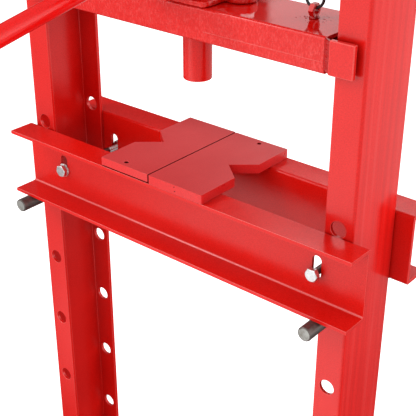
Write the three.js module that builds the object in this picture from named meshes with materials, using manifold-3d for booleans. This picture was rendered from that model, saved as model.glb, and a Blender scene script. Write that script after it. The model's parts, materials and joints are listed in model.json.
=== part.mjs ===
// Hydraulic shop press: an H-frame with a height-adjustable table and a bottle jack on a sprung crossbar.
// Millimetres, +Z up, +X to the right and +Y to the back, seen from the front where the pump handle is.
// The origin is the centre of the ram nose's bottom face, on the pressing axis.
// Inside the "press" group heights are counted from the floor.

import * as THREE from 'three';
import { mergeVertices } from 'three/addons/utils/BufferGeometryUtils.js';
import Module from 'manifold-3d';

const wasm = await Module();
wasm.setup();

// ---------------------------------------------------------------- driving dimensions

// Sheet and holes
const SHEET = 5;                 // wall of every folded channel
const BEND = 4;                  // outer radius of a fold
const INNER_BEND = 1.5;
const FIT = 0.3;                 // gap between pieces that touch or run on each other
const CUT_REACH = 60;            // how far a drill or slot cutter reaches to each side across the frame
const LONG_CUT_REACH = 300;      // the same for cutters that run the frame's whole width

// Uprights: folded channels with their webs outside and their flanges pointing inwards
const UPRIGHT_TOP = 1390;
const UPRIGHT_OUTER = 287.5;     // outer face of the web, from the middle
const UPRIGHT_INNER = 246.5;     // free edge of the flanges, from the middle
const UPRIGHT_DEPTH = 103;
const HOLE_X = 265.5;
const HOLE_RADIUS = 11;
const HOLE_PITCH = 120;
const LOWEST_HOLE = 100;
const HOLE_COUNT = 7;
const PIN_ROW = 5;               // the table stands on pins in this row, counted from the lowest

// Feet and lower brace
const FOOT_LENGTH = 460;
const FOOT_LEG = 50;
const FOOT_BOLT_Y = 28;
const FOOT_BOLT_Z = 30;
const BRACE_Z = 62;
const BRACE_HEIGHT = 60;
const BRACE_LIP = 22;

// Channel stock of the table and the crosshead
const CHANNEL_HEIGHT = 102;
const CHANNEL_FLANGE = 43.5;

// Table
const TABLE_LENGTH = 608;
const TABLE_SHIFT = 9.3;         // the table hangs this far to the right, on its right tie bolt
const PIN_RADIUS = 10;
const PIN_LENGTH = 212;
const PIN_SHIFT = -8;            // the pins stand out further at the front
const PIN_CHAMFER = 1.5;
const TIE_X = 232;
const TIE_Z = 44;                // above the table's bottom
const TIE_RADIUS = 5;
const TIE_FLATS = 17;
const TIE_HEAD = 7;
const TIE_NUT = 8.5;
const TIE_TAIL = 5;
const SLACK_TIE_GAP = 5.8;       // the right tie bolt has no washer and stands this far out
const SLOT_HALF_WIDTH = 7;
const SLOT_HEIGHT = 33;
const WASHER_RADIUS = 10.5;
const WASHER_THICKNESS = 2;
const PLATE_THICKNESS = 13.6;
const PLATE_WIDTHS = { left: 89.65, right: 94.55 };  // from the middle of the seam
const PLATE_FRONT = -96;
const PLATE_BACK = 94.5;
const PLATE_SEAM_X = -9.35;
const SEAM_HALF_GAP = 0.85;
const NOTCH_DEPTH = 32;
const NOTCH_HALF_WIDTH = 27;
const PLATE_HOLE_RADIUS = 3.2;
const PLATE_HOLE_FROM_SEAM = 51;
const PLATE_HOLE_Y = 84.3;

// Crosshead
const HEAD_Z = 1281;             // underside
const HEAD_BOLT_ROWS = [26, 76]; // above the underside
const HEAD_BOLT_RADIUS = 6;
const BLOCK_HALF_LENGTH = 70;
const BLOCK_HEIGHT = 45;
const BLOCK_BOLT_X = 45;
const BLOCK_BOLT_Z = 26;
const SOCKET_OUTER = 28;
const SOCKET_INNER = 23.5;
const SOCKET_DEPTH = 10;
const SPRING_X = 180;
const SPRING_BOLT_RADIUS = 5;

// Crossbar
const CROSSBAR_Z = 1011.8;       // underside, with the jack lowered
const CROSSBAR_HEIGHT = 44.2;
const CROSSBAR_HALF_DEPTH = 51.5;
const CROSSBAR_HALF_LENGTH = 232.5;
const CROSSBAR_SHIFT = -2.5;     // it hangs this far forward in its guides
const GUIDE_INNER_Y = 55;
const GUIDE_THICKNESS = 6.5;
const GUIDE_START_X = 243.8;
const GUIDE_END_X = 277;
const GUIDE_Z = 4.8;             // above the crossbar's underside
const GUIDE_HEIGHT = 41;
const NOSE_RADIUS = 19.7;
const NOSE_LENGTH = 71.6;
const NOSE_CHAMFER = 1.2;
const CROSSBAR_CORNER = 6;
const LUG_FLATS = 16;            // each spring lug is a nut standing on one of its flats
const LUG_HALF_THICKNESS = 3.6;
const LUG_EYE_Z = 10;
const LUG_EYE_RADIUS = 4.5;
const LUG_BEAD_HALF_X = 4;       // the weld under it
const LUG_BEAD_HALF_Y = 5;
const SPRING_RADIUS = 14.5;
const SPRING_CLEARANCE = 2;      // from a spring's ends to the top of its lug and the underside of its bolt

// Bottle jack, heights above the crossbar's top
const BASE_FLANGE_HALF_X = 57;
const BASE_FLANGE_HALF_Y = 53.5;
const BASE_FLANGE_HEIGHT = 8;
const BASE_BODY_HALF = 46;
const BASE_HEIGHT = 26;
const EAR_X = 67;
const EAR_Y = 6.7;
const EAR_RADIUS = 20.6;
const EAR_HEIGHT = 12;
const EAR_BOLT_X = 75;
const EAR_BOLT_FLATS = 18;
const EAR_BOLT_HEAD = 7.5;
const RESERVOIR_OUTER = 36;
const RESERVOIR_INNER = 33;
const RESERVOIR_TOP = 168;
const CYLINDER_OUTER = 23;
const CYLINDER_INNER = 17.5;
const CYLINDER_TOP = 164;
const CAP_TOP = 184;
const RAM_RADIUS = 16.2;
const RAM_BOTTOM = 30;
const RAM_TOP = 198;
const RAM_BORE = 11.5;
const SCREW_RADIUS = 11;
const SCREW_BOTTOM = 62;
const SADDLE_RADIUS = 18;
const SADDLE_BOTTOM = 208.6;
const SADDLE_TOP = 224.6;
const FILLER_Z = 148;
const FILLER_RADIUS = 4;

// Pump, measured from the jack's axis
const PUMP_Y = -63.5;
const PUMP_OUTER = 11;
const PUMP_BORE = 6.5;
const PUMP_BOSS_HALF_WIDTH = 14;
const PUMP_BOSS_FRONT = -76.5;
const PUMP_BOSS_BACK = -36.6;
const PUMP_BOSS_BOTTOM = 14;
const PUMP_BOSS_TOP = 41;
const PUMP_TOP = 58;
const PLUNGER_RADIUS = 6;
const PLUNGER_BOTTOM = 20;
const PLUNGER_HEAD_HALF = 6.5;
const PLUNGER_HEAD_RISE = 7;
const PLUNGER_PIN_Z = 69.9;
const PLUNGER_PIN_RADIUS = 2.5;
const LINK_FOOT_Y = -49.5;
const LINK_FOOT_Z = 34.2;
const FULCRUM_Y = -44.5;
const FULCRUM_Z = 73.5;
const FULCRUM_PIN_RADIUS = 4;
const LEVER_DROOP = THREE.MathUtils.degToRad(11.2);
const VALVE_X = -34;
const VALVE_Z = 15;
const VALVE_RADIUS = 6.5;

// Handle, along its own axis from the fulcrum
const EAR_INNER_X = 8;
const EAR_OUTER_X = 12;
const SOCKET_BACK = 36;
const SOCKET_WALL = 6;
const SOCKET_FRONT = 100;
const HANDLE_RADIUS = 11.5;
const HANDLE_WALL = 2;
const HANDLE_END = 520;
const HANDLE_SOCKET_RADIUS = 15;
const CHEEK_TIP = 7.3;           // half width of the cheeks' rounded ends
const CHEEK_ROOT = 7.8;
const PIN_SLOT_FRONT = -26;
const PIN_SLOT_BACK = -16.5;
const PIN_SLOT_HALF_HEIGHT = 4.2;
const GRIP_RADIUS = 14.5;
const GRIP_LENGTH = 110;

// Worked-out levels
const PIN_Z = LOWEST_HOLE + PIN_ROW * HOLE_PITCH;
const TABLE_Z = PIN_Z + PIN_RADIUS;
const TABLE_TOP = TABLE_Z + CHANNEL_HEIGHT;
const WEB_FACE = UPRIGHT_DEPTH / 2;
const CHANNEL_OUTER_Y = WEB_FACE + SHEET;
const JACK_Z = CROSSBAR_Z + CROSSBAR_HEIGHT;
const NOSE_FACE_Z = CROSSBAR_Z - NOSE_LENGTH;

// ---------------------------------------------------------------- geometry helpers

// Directions of a drawn outline's two axes and of its extrusion, for an extrusion along each world axis
const X = new THREE.Vector3(1, 0, 0);
const Y = new THREE.Vector3(0, 1, 0);
const Z = new THREE.Vector3(0, 0, 1);
const DRAWING_PLANES = {
  x: new THREE.Matrix4().makeBasis(Y, Z, X),
  y: new THREE.Matrix4().makeBasis(X, Z, Y.clone().negate()),
  z: new THREE.Matrix4().makeBasis(X, Y, Z),
};

// A closed three.js geometry as a manifold solid.
function toSolid(geometry) {
  geometry.deleteAttribute('normal');
  geometry.deleteAttribute('uv');
  const merged = mergeVertices(geometry, 1e-4);
  const mesh = new wasm.Mesh({
    numProp: 3,
    vertProperties: Float32Array.from(merged.attributes.position.array),
    triVerts: Uint32Array.from(merged.index.array),
  });
  return new wasm.Manifold(mesh);
}

// A manifold solid as a three.js geometry.
function toGeometry(solid) {
  const mesh = solid.getMesh();
  const geometry = new THREE.BufferGeometry();
  geometry.setAttribute('position', new THREE.BufferAttribute(mesh.vertProperties, 3));
  geometry.setIndex(new THREE.BufferAttribute(mesh.triVerts, 1));
  geometry.computeVertexNormals();
  return geometry;
}

// Corners given as [u, v] or [u, v, radius] become a closed outline with rounded corners.
function outline(corners, steps = 3) {
  const points = [];
  corners.forEach(([u, v, radius = 0], i) => {
    const corner = new THREE.Vector2(u, v);
    if (radius === 0) {
      points.push(corner);
      return;
    }
    const [pu, pv] = corners[(i + corners.length - 1) % corners.length];
    const [nu, nv] = corners[(i + 1) % corners.length];
    const before = new THREE.Vector2(pu, pv).sub(corner).normalize();
    const after = new THREE.Vector2(nu, nv).sub(corner).normalize();
    const half = Math.acos(before.dot(after)) / 2;
    const bisector = before.clone().add(after).normalize();
    const centre = corner.clone().addScaledVector(bisector, radius / Math.sin(half));
    const first = corner.clone().addScaledVector(before, radius / Math.tan(half)).sub(centre);
    const turn = Math.sign(before.cross(after)) * (Math.PI - 2 * half);
    for (let k = 0; k <= steps; k += 1) {
      points.push(first.clone().rotateAround(new THREE.Vector2(), -turn * k / steps).add(centre));
    }
  });
  return points;
}

// A regular polygon; count 6 with a flat-to-flat radius makes a hexagon.
function polygon(radius, count, centre = [0, 0], phase = 0) {
  const points = [];
  for (let k = 0; k < count; k += 1) {
    const angle = phase + 2 * Math.PI * k / count;
    const u = centre[0] + radius * Math.cos(angle);
    points.push(new THREE.Vector2(u, centre[1] + radius * Math.sin(angle)));
  }
  return points;
}

// An outline extruded along a world axis from one coordinate to another.
function prism(points, axis, from, to) {
  const geometry = new THREE.ExtrudeGeometry(new THREE.Shape(points), {
    depth: to - from,
    bevelEnabled: false,
  });
  geometry.applyMatrix4(DRAWING_PLANES[axis]);
  const offset = { x: [from, 0, 0], y: [0, to, 0], z: [0, 0, from] }[axis];
  geometry.translate(...offset);
  return toSolid(geometry);
}

function box(low, high) {
  const [x0, y0, z0] = low;
  const [x1, y1, z1] = high;
  return prism(outline([[x0, y0], [x1, y0], [x1, y1], [x0, y1]]), 'z', z0, z1);
}

function rod(radius, axis, from, to, centre = [0, 0], count = 16) {
  return prism(polygon(radius, count, centre, Math.PI / count), axis, from, to);
}

function tube(outer, inner, axis, from, to, centre = [0, 0], count = 16) {
  return rod(outer, axis, from, to, centre, count)
    .subtract(rod(inner, axis, from - 1, to + 1, centre, count));
}

// A cutter for a hole right across the frame.
function drill(radius, axis, centre, count = 16) {
  const reach = axis === 'x' ? LONG_CUT_REACH : CUT_REACH;
  return rod(radius, axis, -reach, reach, centre, count);
}

function hexPrism(acrossFlats, axis, from, to, centre = [0, 0]) {
  return prism(polygon(acrossFlats / Math.sqrt(3), 6, centre, 0), axis, from, to);
}

// A profile of [radius, height] points turned about Z; it starts and ends on the axis.
function turned(profile, count = 32) {
  return toSolid(new THREE.LatheGeometry(profile.map(([r, z]) => new THREE.Vector2(r, z)), count))
    .rotate([90, 0, 0]);
}

// A channel's section drawn in (depth, height): the web's back is at depth `back`,
// and the flanges reach CHANNEL_FLANGE away from it, forwards for side -1 and backwards for side +1.
function channelOutline(side, back, bottom, height, flange) {
  const web = back + side * SHEET;
  const tip = back + side * flange;
  const top = bottom + height;
  return outline([
    [back, bottom, BEND], [back, top, BEND], [tip, top], [tip, top - SHEET],
    [web, top - SHEET, INNER_BEND], [web, bottom + SHEET, INNER_BEND],
    [tip, bottom + SHEET], [tip, bottom],
  ]);
}

// A hexagon bolt through a gap, with its nut, as one tightened piece: the head's face is at headFace and
// the nut's at nutFace, both on the given axis.
function throughBolt(radius, axis, headFace, nutFace, centre) {
  const away = Math.sign(headFace - nutFace);
  const flats = radius * 3.1;
  const headEnd = headFace + away * radius * 1.3;
  const nutEnd = nutFace - away * radius * 1.7;
  const tip = nutEnd - away * radius * 0.6;
  return rod(radius, axis, Math.min(headFace, tip), Math.max(headFace, tip), centre, 16)
    .add(hexPrism(flats, axis, Math.min(headFace, headEnd), Math.max(headFace, headEnd), centre))
    .add(hexPrism(flats, axis, Math.min(nutFace, nutEnd), Math.max(nutFace, nutEnd), centre));
}

// ---------------------------------------------------------------- finishes and node making

const FINISHES = {
  red_enamel: { color: 0xe2302a, roughness: 0.28, metalness: 0 },
  zinc: { color: 0xc9ccd0, roughness: 0.32, metalness: 1 },
  bare_steel: { color: 0x77716c, roughness: 0.42, metalness: 1 },
  ground_steel: { color: 0xb9bcc0, roughness: 0.2, metalness: 1 },
  black_wire: { color: 0x1a1a1c, roughness: 0.4, metalness: 0.6 },
  black_rubber: { color: 0x161617, roughness: 0.75, metalness: 0 },
};

const SIDES = [['left', -1], ['right', 1]];
const ENDS = [['front', -1], ['rear', 1]];

const group = new THREE.Group();
const press = new THREE.Group();
press.position.z = -NOSE_FACE_Z;
group.add(press);

function place(name, solid, finish, parent = press) {
  const mesh = new THREE.Mesh(toGeometry(solid), new THREE.MeshStandardMaterial(FINISHES[finish]));
  mesh.name = name;
  parent.add(mesh);
}

// ---------------------------------------------------------------- frame

function upright(side) {
  const inner = side * UPRIGHT_INNER;
  const outer = side * UPRIGHT_OUTER;
  const web = side * (UPRIGHT_OUTER - SHEET);
  const front = -WEB_FACE;
  const section = outline([
    [inner, front], [outer, front, BEND], [outer, WEB_FACE, BEND], [inner, WEB_FACE],
    [inner, WEB_FACE - SHEET], [web, WEB_FACE - SHEET, INNER_BEND],
    [web, front + SHEET, INNER_BEND], [inner, front + SHEET],
  ]);
  let solid = prism(section, 'z', 0, UPRIGHT_TOP);
  for (let row = 0; row < HOLE_COUNT; row += 1) {
    // A pin lies on the bottom of its holes, so the holes' centres are higher than the pin's.
    const z = LOWEST_HOLE + row * HOLE_PITCH + HOLE_RADIUS - PIN_RADIUS - FIT / 2;
    solid = solid.subtract(drill(HOLE_RADIUS, 'y', [side * HOLE_X, z], 24));
  }
  for (const z of HEAD_BOLT_ROWS) {
    const centre = [side * HOLE_X, HEAD_Z + z];
    solid = solid.subtract(drill(HEAD_BOLT_RADIUS + FIT, 'y', centre));
  }
  return solid.subtract(footBoltHoles());
}

function footBoltHoles() {
  let holes = drill(HEAD_BOLT_RADIUS + FIT, 'x', [-FOOT_BOLT_Y, FOOT_BOLT_Z]);
  holes = holes.add(drill(HEAD_BOLT_RADIUS + FIT, 'x', [FOOT_BOLT_Y, FOOT_BOLT_Z]));
  return holes;
}

function foot(side) {
  const inner = side * UPRIGHT_OUTER;
  const web = side * (UPRIGHT_OUTER + SHEET);
  const tip = side * (UPRIGHT_OUTER + FOOT_LEG);
  const section = outline([
    [inner, 0], [tip, 0], [tip, SHEET], [web, SHEET, INNER_BEND], [web, FOOT_LEG], [inner, FOOT_LEG],
  ]);
  return prism(section, 'y', -FOOT_LENGTH / 2, FOOT_LENGTH / 2).subtract(footBoltHoles());
}

function crossheadChannel(side) {
  const section = channelOutline(side, side * WEB_FACE, HEAD_Z, CHANNEL_HEIGHT, CHANNEL_FLANGE);
  let solid = prism(section, 'x', -UPRIGHT_OUTER, UPRIGHT_OUTER);
  const bolts = [];
  for (const x of [-HOLE_X, HOLE_X]) {
    HEAD_BOLT_ROWS.forEach((z) => bolts.push([x, HEAD_Z + z, HEAD_BOLT_RADIUS]));
  }
  for (const sign of [-1, 1]) {
    bolts.push([sign * BLOCK_BOLT_X, HEAD_Z + BLOCK_BOLT_Z, HEAD_BOLT_RADIUS]);
    bolts.push([sign * SPRING_X, HEAD_Z + HEAD_BOLT_ROWS[0], SPRING_BOLT_RADIUS]);
  }
  for (const [x, z, radius] of bolts) {
    solid = solid.subtract(drill(radius + FIT, 'y', [x, z]));
  }
  return solid;
}

for (const [name, side] of SIDES) {
  place(`upright_${name}`, upright(side), 'red_enamel');
  place(`foot_${name}`, foot(side), 'red_enamel');
  for (const [end, sign] of ENDS) {
    const centre = [sign * FOOT_BOLT_Y, FOOT_BOLT_Z];
    const headFace = side * (UPRIGHT_OUTER + SHEET);
    const nutFace = side * (UPRIGHT_OUTER - SHEET);
    place(`foot_bolt_${name}_${end}`, throughBolt(HEAD_BOLT_RADIUS, 'x', headFace, nutFace, centre), 'zinc');
  }
}

const braceSection = channelOutline(1, WEB_FACE, BRACE_Z, BRACE_HEIGHT, BRACE_LIP);
place('lower_brace', prism(braceSection, 'x', -UPRIGHT_OUTER, UPRIGHT_OUTER), 'red_enamel');

for (const [name, side] of ENDS) {
  place(`crosshead_${name}`, crossheadChannel(side), 'red_enamel');
}

let headBlock = box(
  [-BLOCK_HALF_LENGTH, -WEB_FACE, HEAD_Z],
  [BLOCK_HALF_LENGTH, WEB_FACE, HEAD_Z + BLOCK_HEIGHT],
);
for (const x of [-BLOCK_BOLT_X, BLOCK_BOLT_X]) {
  headBlock = headBlock.subtract(drill(HEAD_BOLT_RADIUS + FIT, 'y', [x, HEAD_Z + BLOCK_BOLT_Z]));
}
place('head_block', headBlock, 'red_enamel');
const headSocket = tube(SOCKET_OUTER, SOCKET_INNER, 'z', HEAD_Z - SOCKET_DEPTH, HEAD_Z, [0, 0], 32);
place('head_socket', headSocket, 'red_enamel');

for (const [name, side] of SIDES) {
  HEAD_BOLT_ROWS.forEach((z, i) => {
    const centre = [side * HOLE_X, HEAD_Z + z];
    const bolt = throughBolt(HEAD_BOLT_RADIUS, 'y', -CHANNEL_OUTER_Y, CHANNEL_OUTER_Y, centre);
    place(`head_bolt_${name}_${['lower', 'upper'][i]}`, bolt, 'zinc');
  });
  const blockCentre = [side * BLOCK_BOLT_X, HEAD_Z + BLOCK_BOLT_Z];
  const blockBolt = throughBolt(HEAD_BOLT_RADIUS, 'y', -CHANNEL_OUTER_Y, CHANNEL_OUTER_Y, blockCentre);
  place(`block_bolt_${name}`, blockBolt, 'zinc');
  const springCentre = [side * SPRING_X, HEAD_Z + HEAD_BOLT_ROWS[0]];
  const springBolt = throughBolt(SPRING_BOLT_RADIUS, 'y', -CHANNEL_OUTER_Y, CHANNEL_OUTER_Y, springCentre);
  place(`spring_bolt_${name}`, springBolt, 'zinc');
}

// ---------------------------------------------------------------- table

const table = new THREE.Group();
table.position.set(TABLE_SHIFT, 0, TABLE_Z);
press.add(table);

function slotOutline(x) {
  const half = SLOT_HEIGHT / 2;
  const middle = CHANNEL_HEIGHT / 2;
  const radius = SLOT_HALF_WIDTH - 0.01;
  return outline([
    [x - SLOT_HALF_WIDTH, middle - half, radius], [x + SLOT_HALF_WIDTH, middle - half, radius],
    [x + SLOT_HALF_WIDTH, middle + half, radius], [x - SLOT_HALF_WIDTH, middle + half, radius],
  ], 5);
}

// The table's webs keep the running gap to the uprights that they slide on.
function tableChannel(side) {
  const back = side * (WEB_FACE + FIT);
  const section = channelOutline(side, back, 0, CHANNEL_HEIGHT, CHANNEL_FLANGE);
  let solid = prism(section, 'x', -TABLE_LENGTH / 2, TABLE_LENGTH / 2);
  for (const x of [-TIE_X, TIE_X]) {
    solid = solid.subtract(prism(slotOutline(x), 'y', -CUT_REACH, CUT_REACH));
  }
  return solid;
}

// Half of the pair of arbor plates: a rectangle with a notch in its outer side and one small drilled hole.
function arborPlate(side, width) {
  const seam = side * SEAM_HALF_GAP;
  const outer = side * width;
  const shape = outline([
    [seam, PLATE_FRONT], [outer, PLATE_FRONT], [outer, -NOTCH_HALF_WIDTH],
    [side * (width - NOTCH_DEPTH), 0], [outer, NOTCH_HALF_WIDTH],
    [outer, PLATE_BACK], [seam, PLATE_BACK],
  ]);
  const holeCentre = [side * PLATE_HOLE_FROM_SEAM, side * PLATE_HOLE_Y];
  return prism(shape, 'z', 0, PLATE_THICKNESS)
    .subtract(rod(PLATE_HOLE_RADIUS, 'z', -1, PLATE_THICKNESS + 1, holeCentre, 12));
}

for (const [name, side] of ENDS) {
  place(`table_${name}`, tableChannel(side), 'red_enamel', table);
}

const tableWeb = CHANNEL_OUTER_Y + FIT;
const tieNutEnd = tableWeb + TIE_NUT;
for (const [name, side] of SIDES) {
  const centre = [side * TIE_X, TIE_Z];
  const headFace = -tableWeb - (name === 'right' ? SLACK_TIE_GAP : WASHER_THICKNESS);
  const tieBolt = rod(TIE_RADIUS, 'y', headFace - 1, tieNutEnd + TIE_TAIL, centre, 16)
    .add(hexPrism(TIE_FLATS, 'y', headFace - TIE_HEAD, headFace, centre));
  const nut = hexPrism(TIE_FLATS, 'y', tableWeb, tieNutEnd, centre)
    .subtract(rod(TIE_RADIUS + FIT, 'y', tableWeb - 1, tieNutEnd + 1, centre, 16));
  place(`tie_bolt_${name}`, tieBolt, 'zinc', table);
  place(`tie_nut_${name}`, nut, 'zinc', table);
}
const tieWasher = tube(
  WASHER_RADIUS, TIE_RADIUS + FIT, 'y', -tableWeb - WASHER_THICKNESS, -tableWeb, [-TIE_X, TIE_Z], 24,
);
place('tie_washer_left', tieWasher, 'zinc', table);

const plates = new THREE.Group();
plates.position.set(PLATE_SEAM_X, 0, TABLE_TOP);
press.add(plates);
for (const [name, side] of SIDES) {
  place(`arbor_plate_${name}`, arborPlate(side, PLATE_WIDTHS[name]), 'red_enamel', plates);
}

function tablePin() {
  const half = PIN_LENGTH / 2;
  return turned([
    [0, -half], [PIN_RADIUS - PIN_CHAMFER, -half], [PIN_RADIUS, -half + PIN_CHAMFER],
    [PIN_RADIUS, half - PIN_CHAMFER], [PIN_RADIUS - PIN_CHAMFER, half], [0, half],
  ], 24).rotate([90, 0, 0]);
}

for (const [name, side] of SIDES) {
  const holder = new THREE.Group();
  holder.position.set(side * HOLE_X, PIN_SHIFT, PIN_Z);
  press.add(holder);
  place(`table_pin_${name}`, tablePin(), 'bare_steel', holder);
}

// ---------------------------------------------------------------- crossbar

const crossbar = new THREE.Group();
crossbar.position.set(0, CROSSBAR_SHIFT, CROSSBAR_Z);
press.add(crossbar);

// A hollow bar; the weld beads that hold the guides fill the step between its ends and the guides.
function crossbarBody() {
  const bar = (inset, length, radius) => prism(outline([
    [-CROSSBAR_HALF_DEPTH + inset, inset, radius],
    [CROSSBAR_HALF_DEPTH - inset, inset, radius],
    [CROSSBAR_HALF_DEPTH - inset, CROSSBAR_HEIGHT - inset, radius],
    [-CROSSBAR_HALF_DEPTH + inset, CROSSBAR_HEIGHT - inset, radius],
  ]), 'x', -length, length);
  let solid = bar(0, CROSSBAR_HALF_LENGTH, CROSSBAR_CORNER);
  solid = solid.subtract(bar(SHEET, CROSSBAR_HALF_LENGTH + 1, 1));
  for (const [, side] of SIDES) {
    for (const [, end] of ENDS) {
      const bead = outline([
        [side * (CROSSBAR_HALF_LENGTH - 2), end * (CROSSBAR_HALF_DEPTH - 0.4)],
        [side * GUIDE_START_X, end * (GUIDE_INNER_Y + GUIDE_THICKNESS - 1)],
        [side * GUIDE_START_X, end * (CROSSBAR_HALF_DEPTH - 4)],
        [side * (CROSSBAR_HALF_LENGTH - 2), end * (CROSSBAR_HALF_DEPTH - 4)],
      ]);
      solid = solid.add(prism(bead, 'z', 4, CROSSBAR_HEIGHT - 4));
    }
  }
  return solid;
}

function guide(side, end) {
  const x = [side * GUIDE_START_X, side * GUIDE_END_X].sort((a, b) => a - b);
  const y = [end * GUIDE_INNER_Y, end * (GUIDE_INNER_Y + GUIDE_THICKNESS)].sort((a, b) => a - b);
  return box([x[0], y[0], GUIDE_Z], [x[1], y[1], GUIDE_Z + GUIDE_HEIGHT]);
}

function ramNose() {
  return turned([
    [0, -NOSE_LENGTH], [NOSE_RADIUS - NOSE_CHAMFER, -NOSE_LENGTH],
    [NOSE_RADIUS, -NOSE_LENGTH + NOSE_CHAMFER], [NOSE_RADIUS, 0], [0, 0],
  ]);
}

function springLug(side) {
  const x = side * SPRING_X;
  const y = -CROSSBAR_SHIFT;
  const z = CROSSBAR_HEIGHT + LUG_EYE_Z;
  const bead = box(
    [x - LUG_BEAD_HALF_X, y - LUG_BEAD_HALF_Y, CROSSBAR_HEIGHT],
    [x + LUG_BEAD_HALF_X, y + LUG_BEAD_HALF_Y, z - LUG_FLATS / 2 + 1],
  );
  return hexPrism(LUG_FLATS, 'x', x - LUG_HALF_THICKNESS, x + LUG_HALF_THICKNESS, [y, z])
    .add(bead)
    .subtract(drill(LUG_EYE_RADIUS, 'x', [y, z]));
}

place('crossbar', crossbarBody(), 'red_enamel', crossbar);
for (const [name, side] of SIDES) {
  for (const [end, sign] of ENDS) {
    place(`guide_${name}_${end}`, guide(side, sign), 'red_enamel', crossbar);
  }
  place(`spring_lug_${name}`, springLug(side), 'red_enamel', crossbar);
}
place('ram_nose', ramNose(), 'red_enamel', crossbar);

// Each return spring hangs from its bolt in the crosshead and hooks into its lug.
for (const [name, side] of SIDES) {
  const bottom = JACK_Z + LUG_EYE_Z + LUG_FLATS / 2 + SPRING_CLEARANCE;
  const top = HEAD_Z + HEAD_BOLT_ROWS[0] - SPRING_BOLT_RADIUS - SPRING_CLEARANCE;
  place(`return_spring_${name}`, rod(SPRING_RADIUS, 'z', bottom, top, [side * SPRING_X, 0]), 'black_wire');
}

// ---------------------------------------------------------------- bottle jack

const jack = new THREE.Group();
jack.position.set(0, CROSSBAR_SHIFT, JACK_Z);
press.add(jack);

function jackBase() {
  const rectangle = (halfX, halfY, radius) => outline([
    [-halfX, -halfY, radius], [halfX, -halfY, radius], [halfX, halfY, radius], [-halfX, halfY, radius],
  ], 4);
  let solid = prism(rectangle(BASE_FLANGE_HALF_X, BASE_FLANGE_HALF_Y, 12), 'z', 0, BASE_FLANGE_HEIGHT);
  for (const side of [-1, 1]) {
    solid = solid.add(rod(EAR_RADIUS, 'z', 0, EAR_HEIGHT, [side * EAR_X, EAR_Y]));
  }
  const body = rectangle(BASE_BODY_HALF, BASE_BODY_HALF, 20);
  solid = solid.add(prism(body, 'z', BASE_FLANGE_HEIGHT - 1, BASE_HEIGHT));
  solid = solid.add(box(
    [-PUMP_BOSS_HALF_WIDTH, PUMP_BOSS_FRONT, PUMP_BOSS_BOTTOM],
    [PUMP_BOSS_HALF_WIDTH, PUMP_BOSS_BACK, PUMP_BOSS_TOP],
  ));
  solid = solid.add(rod(VALVE_RADIUS + 4, 'y', -BASE_FLANGE_HALF_Y - 3, -40, [VALVE_X, VALVE_Z]));
  solid = solid.subtract(rod(VALVE_RADIUS - 1, 'y', -70, -48, [VALVE_X, VALVE_Z], 16));
  solid = solid.subtract(rod(PUMP_BORE, 'z', PLUNGER_BOTTOM - 2, 70, [0, PUMP_Y]));
  solid = solid.subtract(rod(FULCRUM_PIN_RADIUS + FIT, 'x', -30, 30, [LINK_FOOT_Y, LINK_FOOT_Z], 16));
  for (const side of [-1, 1]) {
    solid = solid.subtract(rod(HEAD_BOLT_RADIUS + FIT, 'z', -1, 20, [side * EAR_BOLT_X, EAR_Y], 16));
  }
  return solid;
}

function earBolt(side) {
  const centre = [side * EAR_BOLT_X, EAR_Y];
  return rod(HEAD_BOLT_RADIUS, 'z', FIT, EAR_HEIGHT, centre, 16)
    .add(hexPrism(EAR_BOLT_FLATS, 'z', EAR_HEIGHT, EAR_HEIGHT + EAR_BOLT_HEAD, centre));
}

function reservoir() {
  const shell = tube(RESERVOIR_OUTER, RESERVOIR_INNER, 'z', BASE_HEIGHT, RESERVOIR_TOP, [0, 0], 32);
  return shell.subtract(rod(FILLER_RADIUS + FIT, 'x', 20, 50, [0, FILLER_Z], 12));
}

// The plug's rounded head lies on the reservoir's wall and its stub goes through it.
function fillerPlug() {
  return rod(FILLER_RADIUS, 'x', RESERVOIR_INNER - 1, RESERVOIR_OUTER + 1, [0, FILLER_Z], 12)
    .add(rod(FILLER_RADIUS + 2, 'x', RESERVOIR_OUTER + 0.5, RESERVOIR_OUTER + 4, [0, FILLER_Z], 16));
}

function topNut() {
  return hexPrism(2 * RESERVOIR_OUTER - 4, 'z', RESERVOIR_TOP + 5, CAP_TOP)
    .add(rod(RESERVOIR_OUTER, 'z', RESERVOIR_TOP, RESERVOIR_TOP + 5, [0, 0], 32))
    .subtract(rod(RAM_RADIUS + 1, 'z', RESERVOIR_TOP - 1, CAP_TOP + 1, [0, 0], 32));
}

function jackRam() {
  return rod(RAM_RADIUS, 'z', RAM_BOTTOM, RAM_TOP, [0, 0], 32)
    .subtract(rod(RAM_BORE, 'z', SCREW_BOTTOM - 2, RAM_TOP + 1, [0, 0], 24));
}

function extensionScrew() {
  return rod(SCREW_RADIUS, 'z', SCREW_BOTTOM, SADDLE_BOTTOM, [0, 0], 24)
    .add(rod(SADDLE_RADIUS, 'z', SADDLE_BOTTOM, SADDLE_TOP, [0, 0], 32));
}

function pumpPlunger() {
  const half = PLUNGER_HEAD_HALF;
  const top = PLUNGER_PIN_Z + PLUNGER_HEAD_RISE;
  const head = box([-half, PUMP_Y - half, PUMP_TOP + 4], [half, PUMP_Y + half, top]);
  return rod(PLUNGER_RADIUS, 'z', PLUNGER_BOTTOM, PUMP_TOP + 5, [0, PUMP_Y], 20)
    .add(head)
    .add(rod(PLUNGER_PIN_RADIUS, 'x', -EAR_OUTER_X - 1.5, EAR_OUTER_X + 1.5, [PUMP_Y, PLUNGER_PIN_Z], 12));
}

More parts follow.
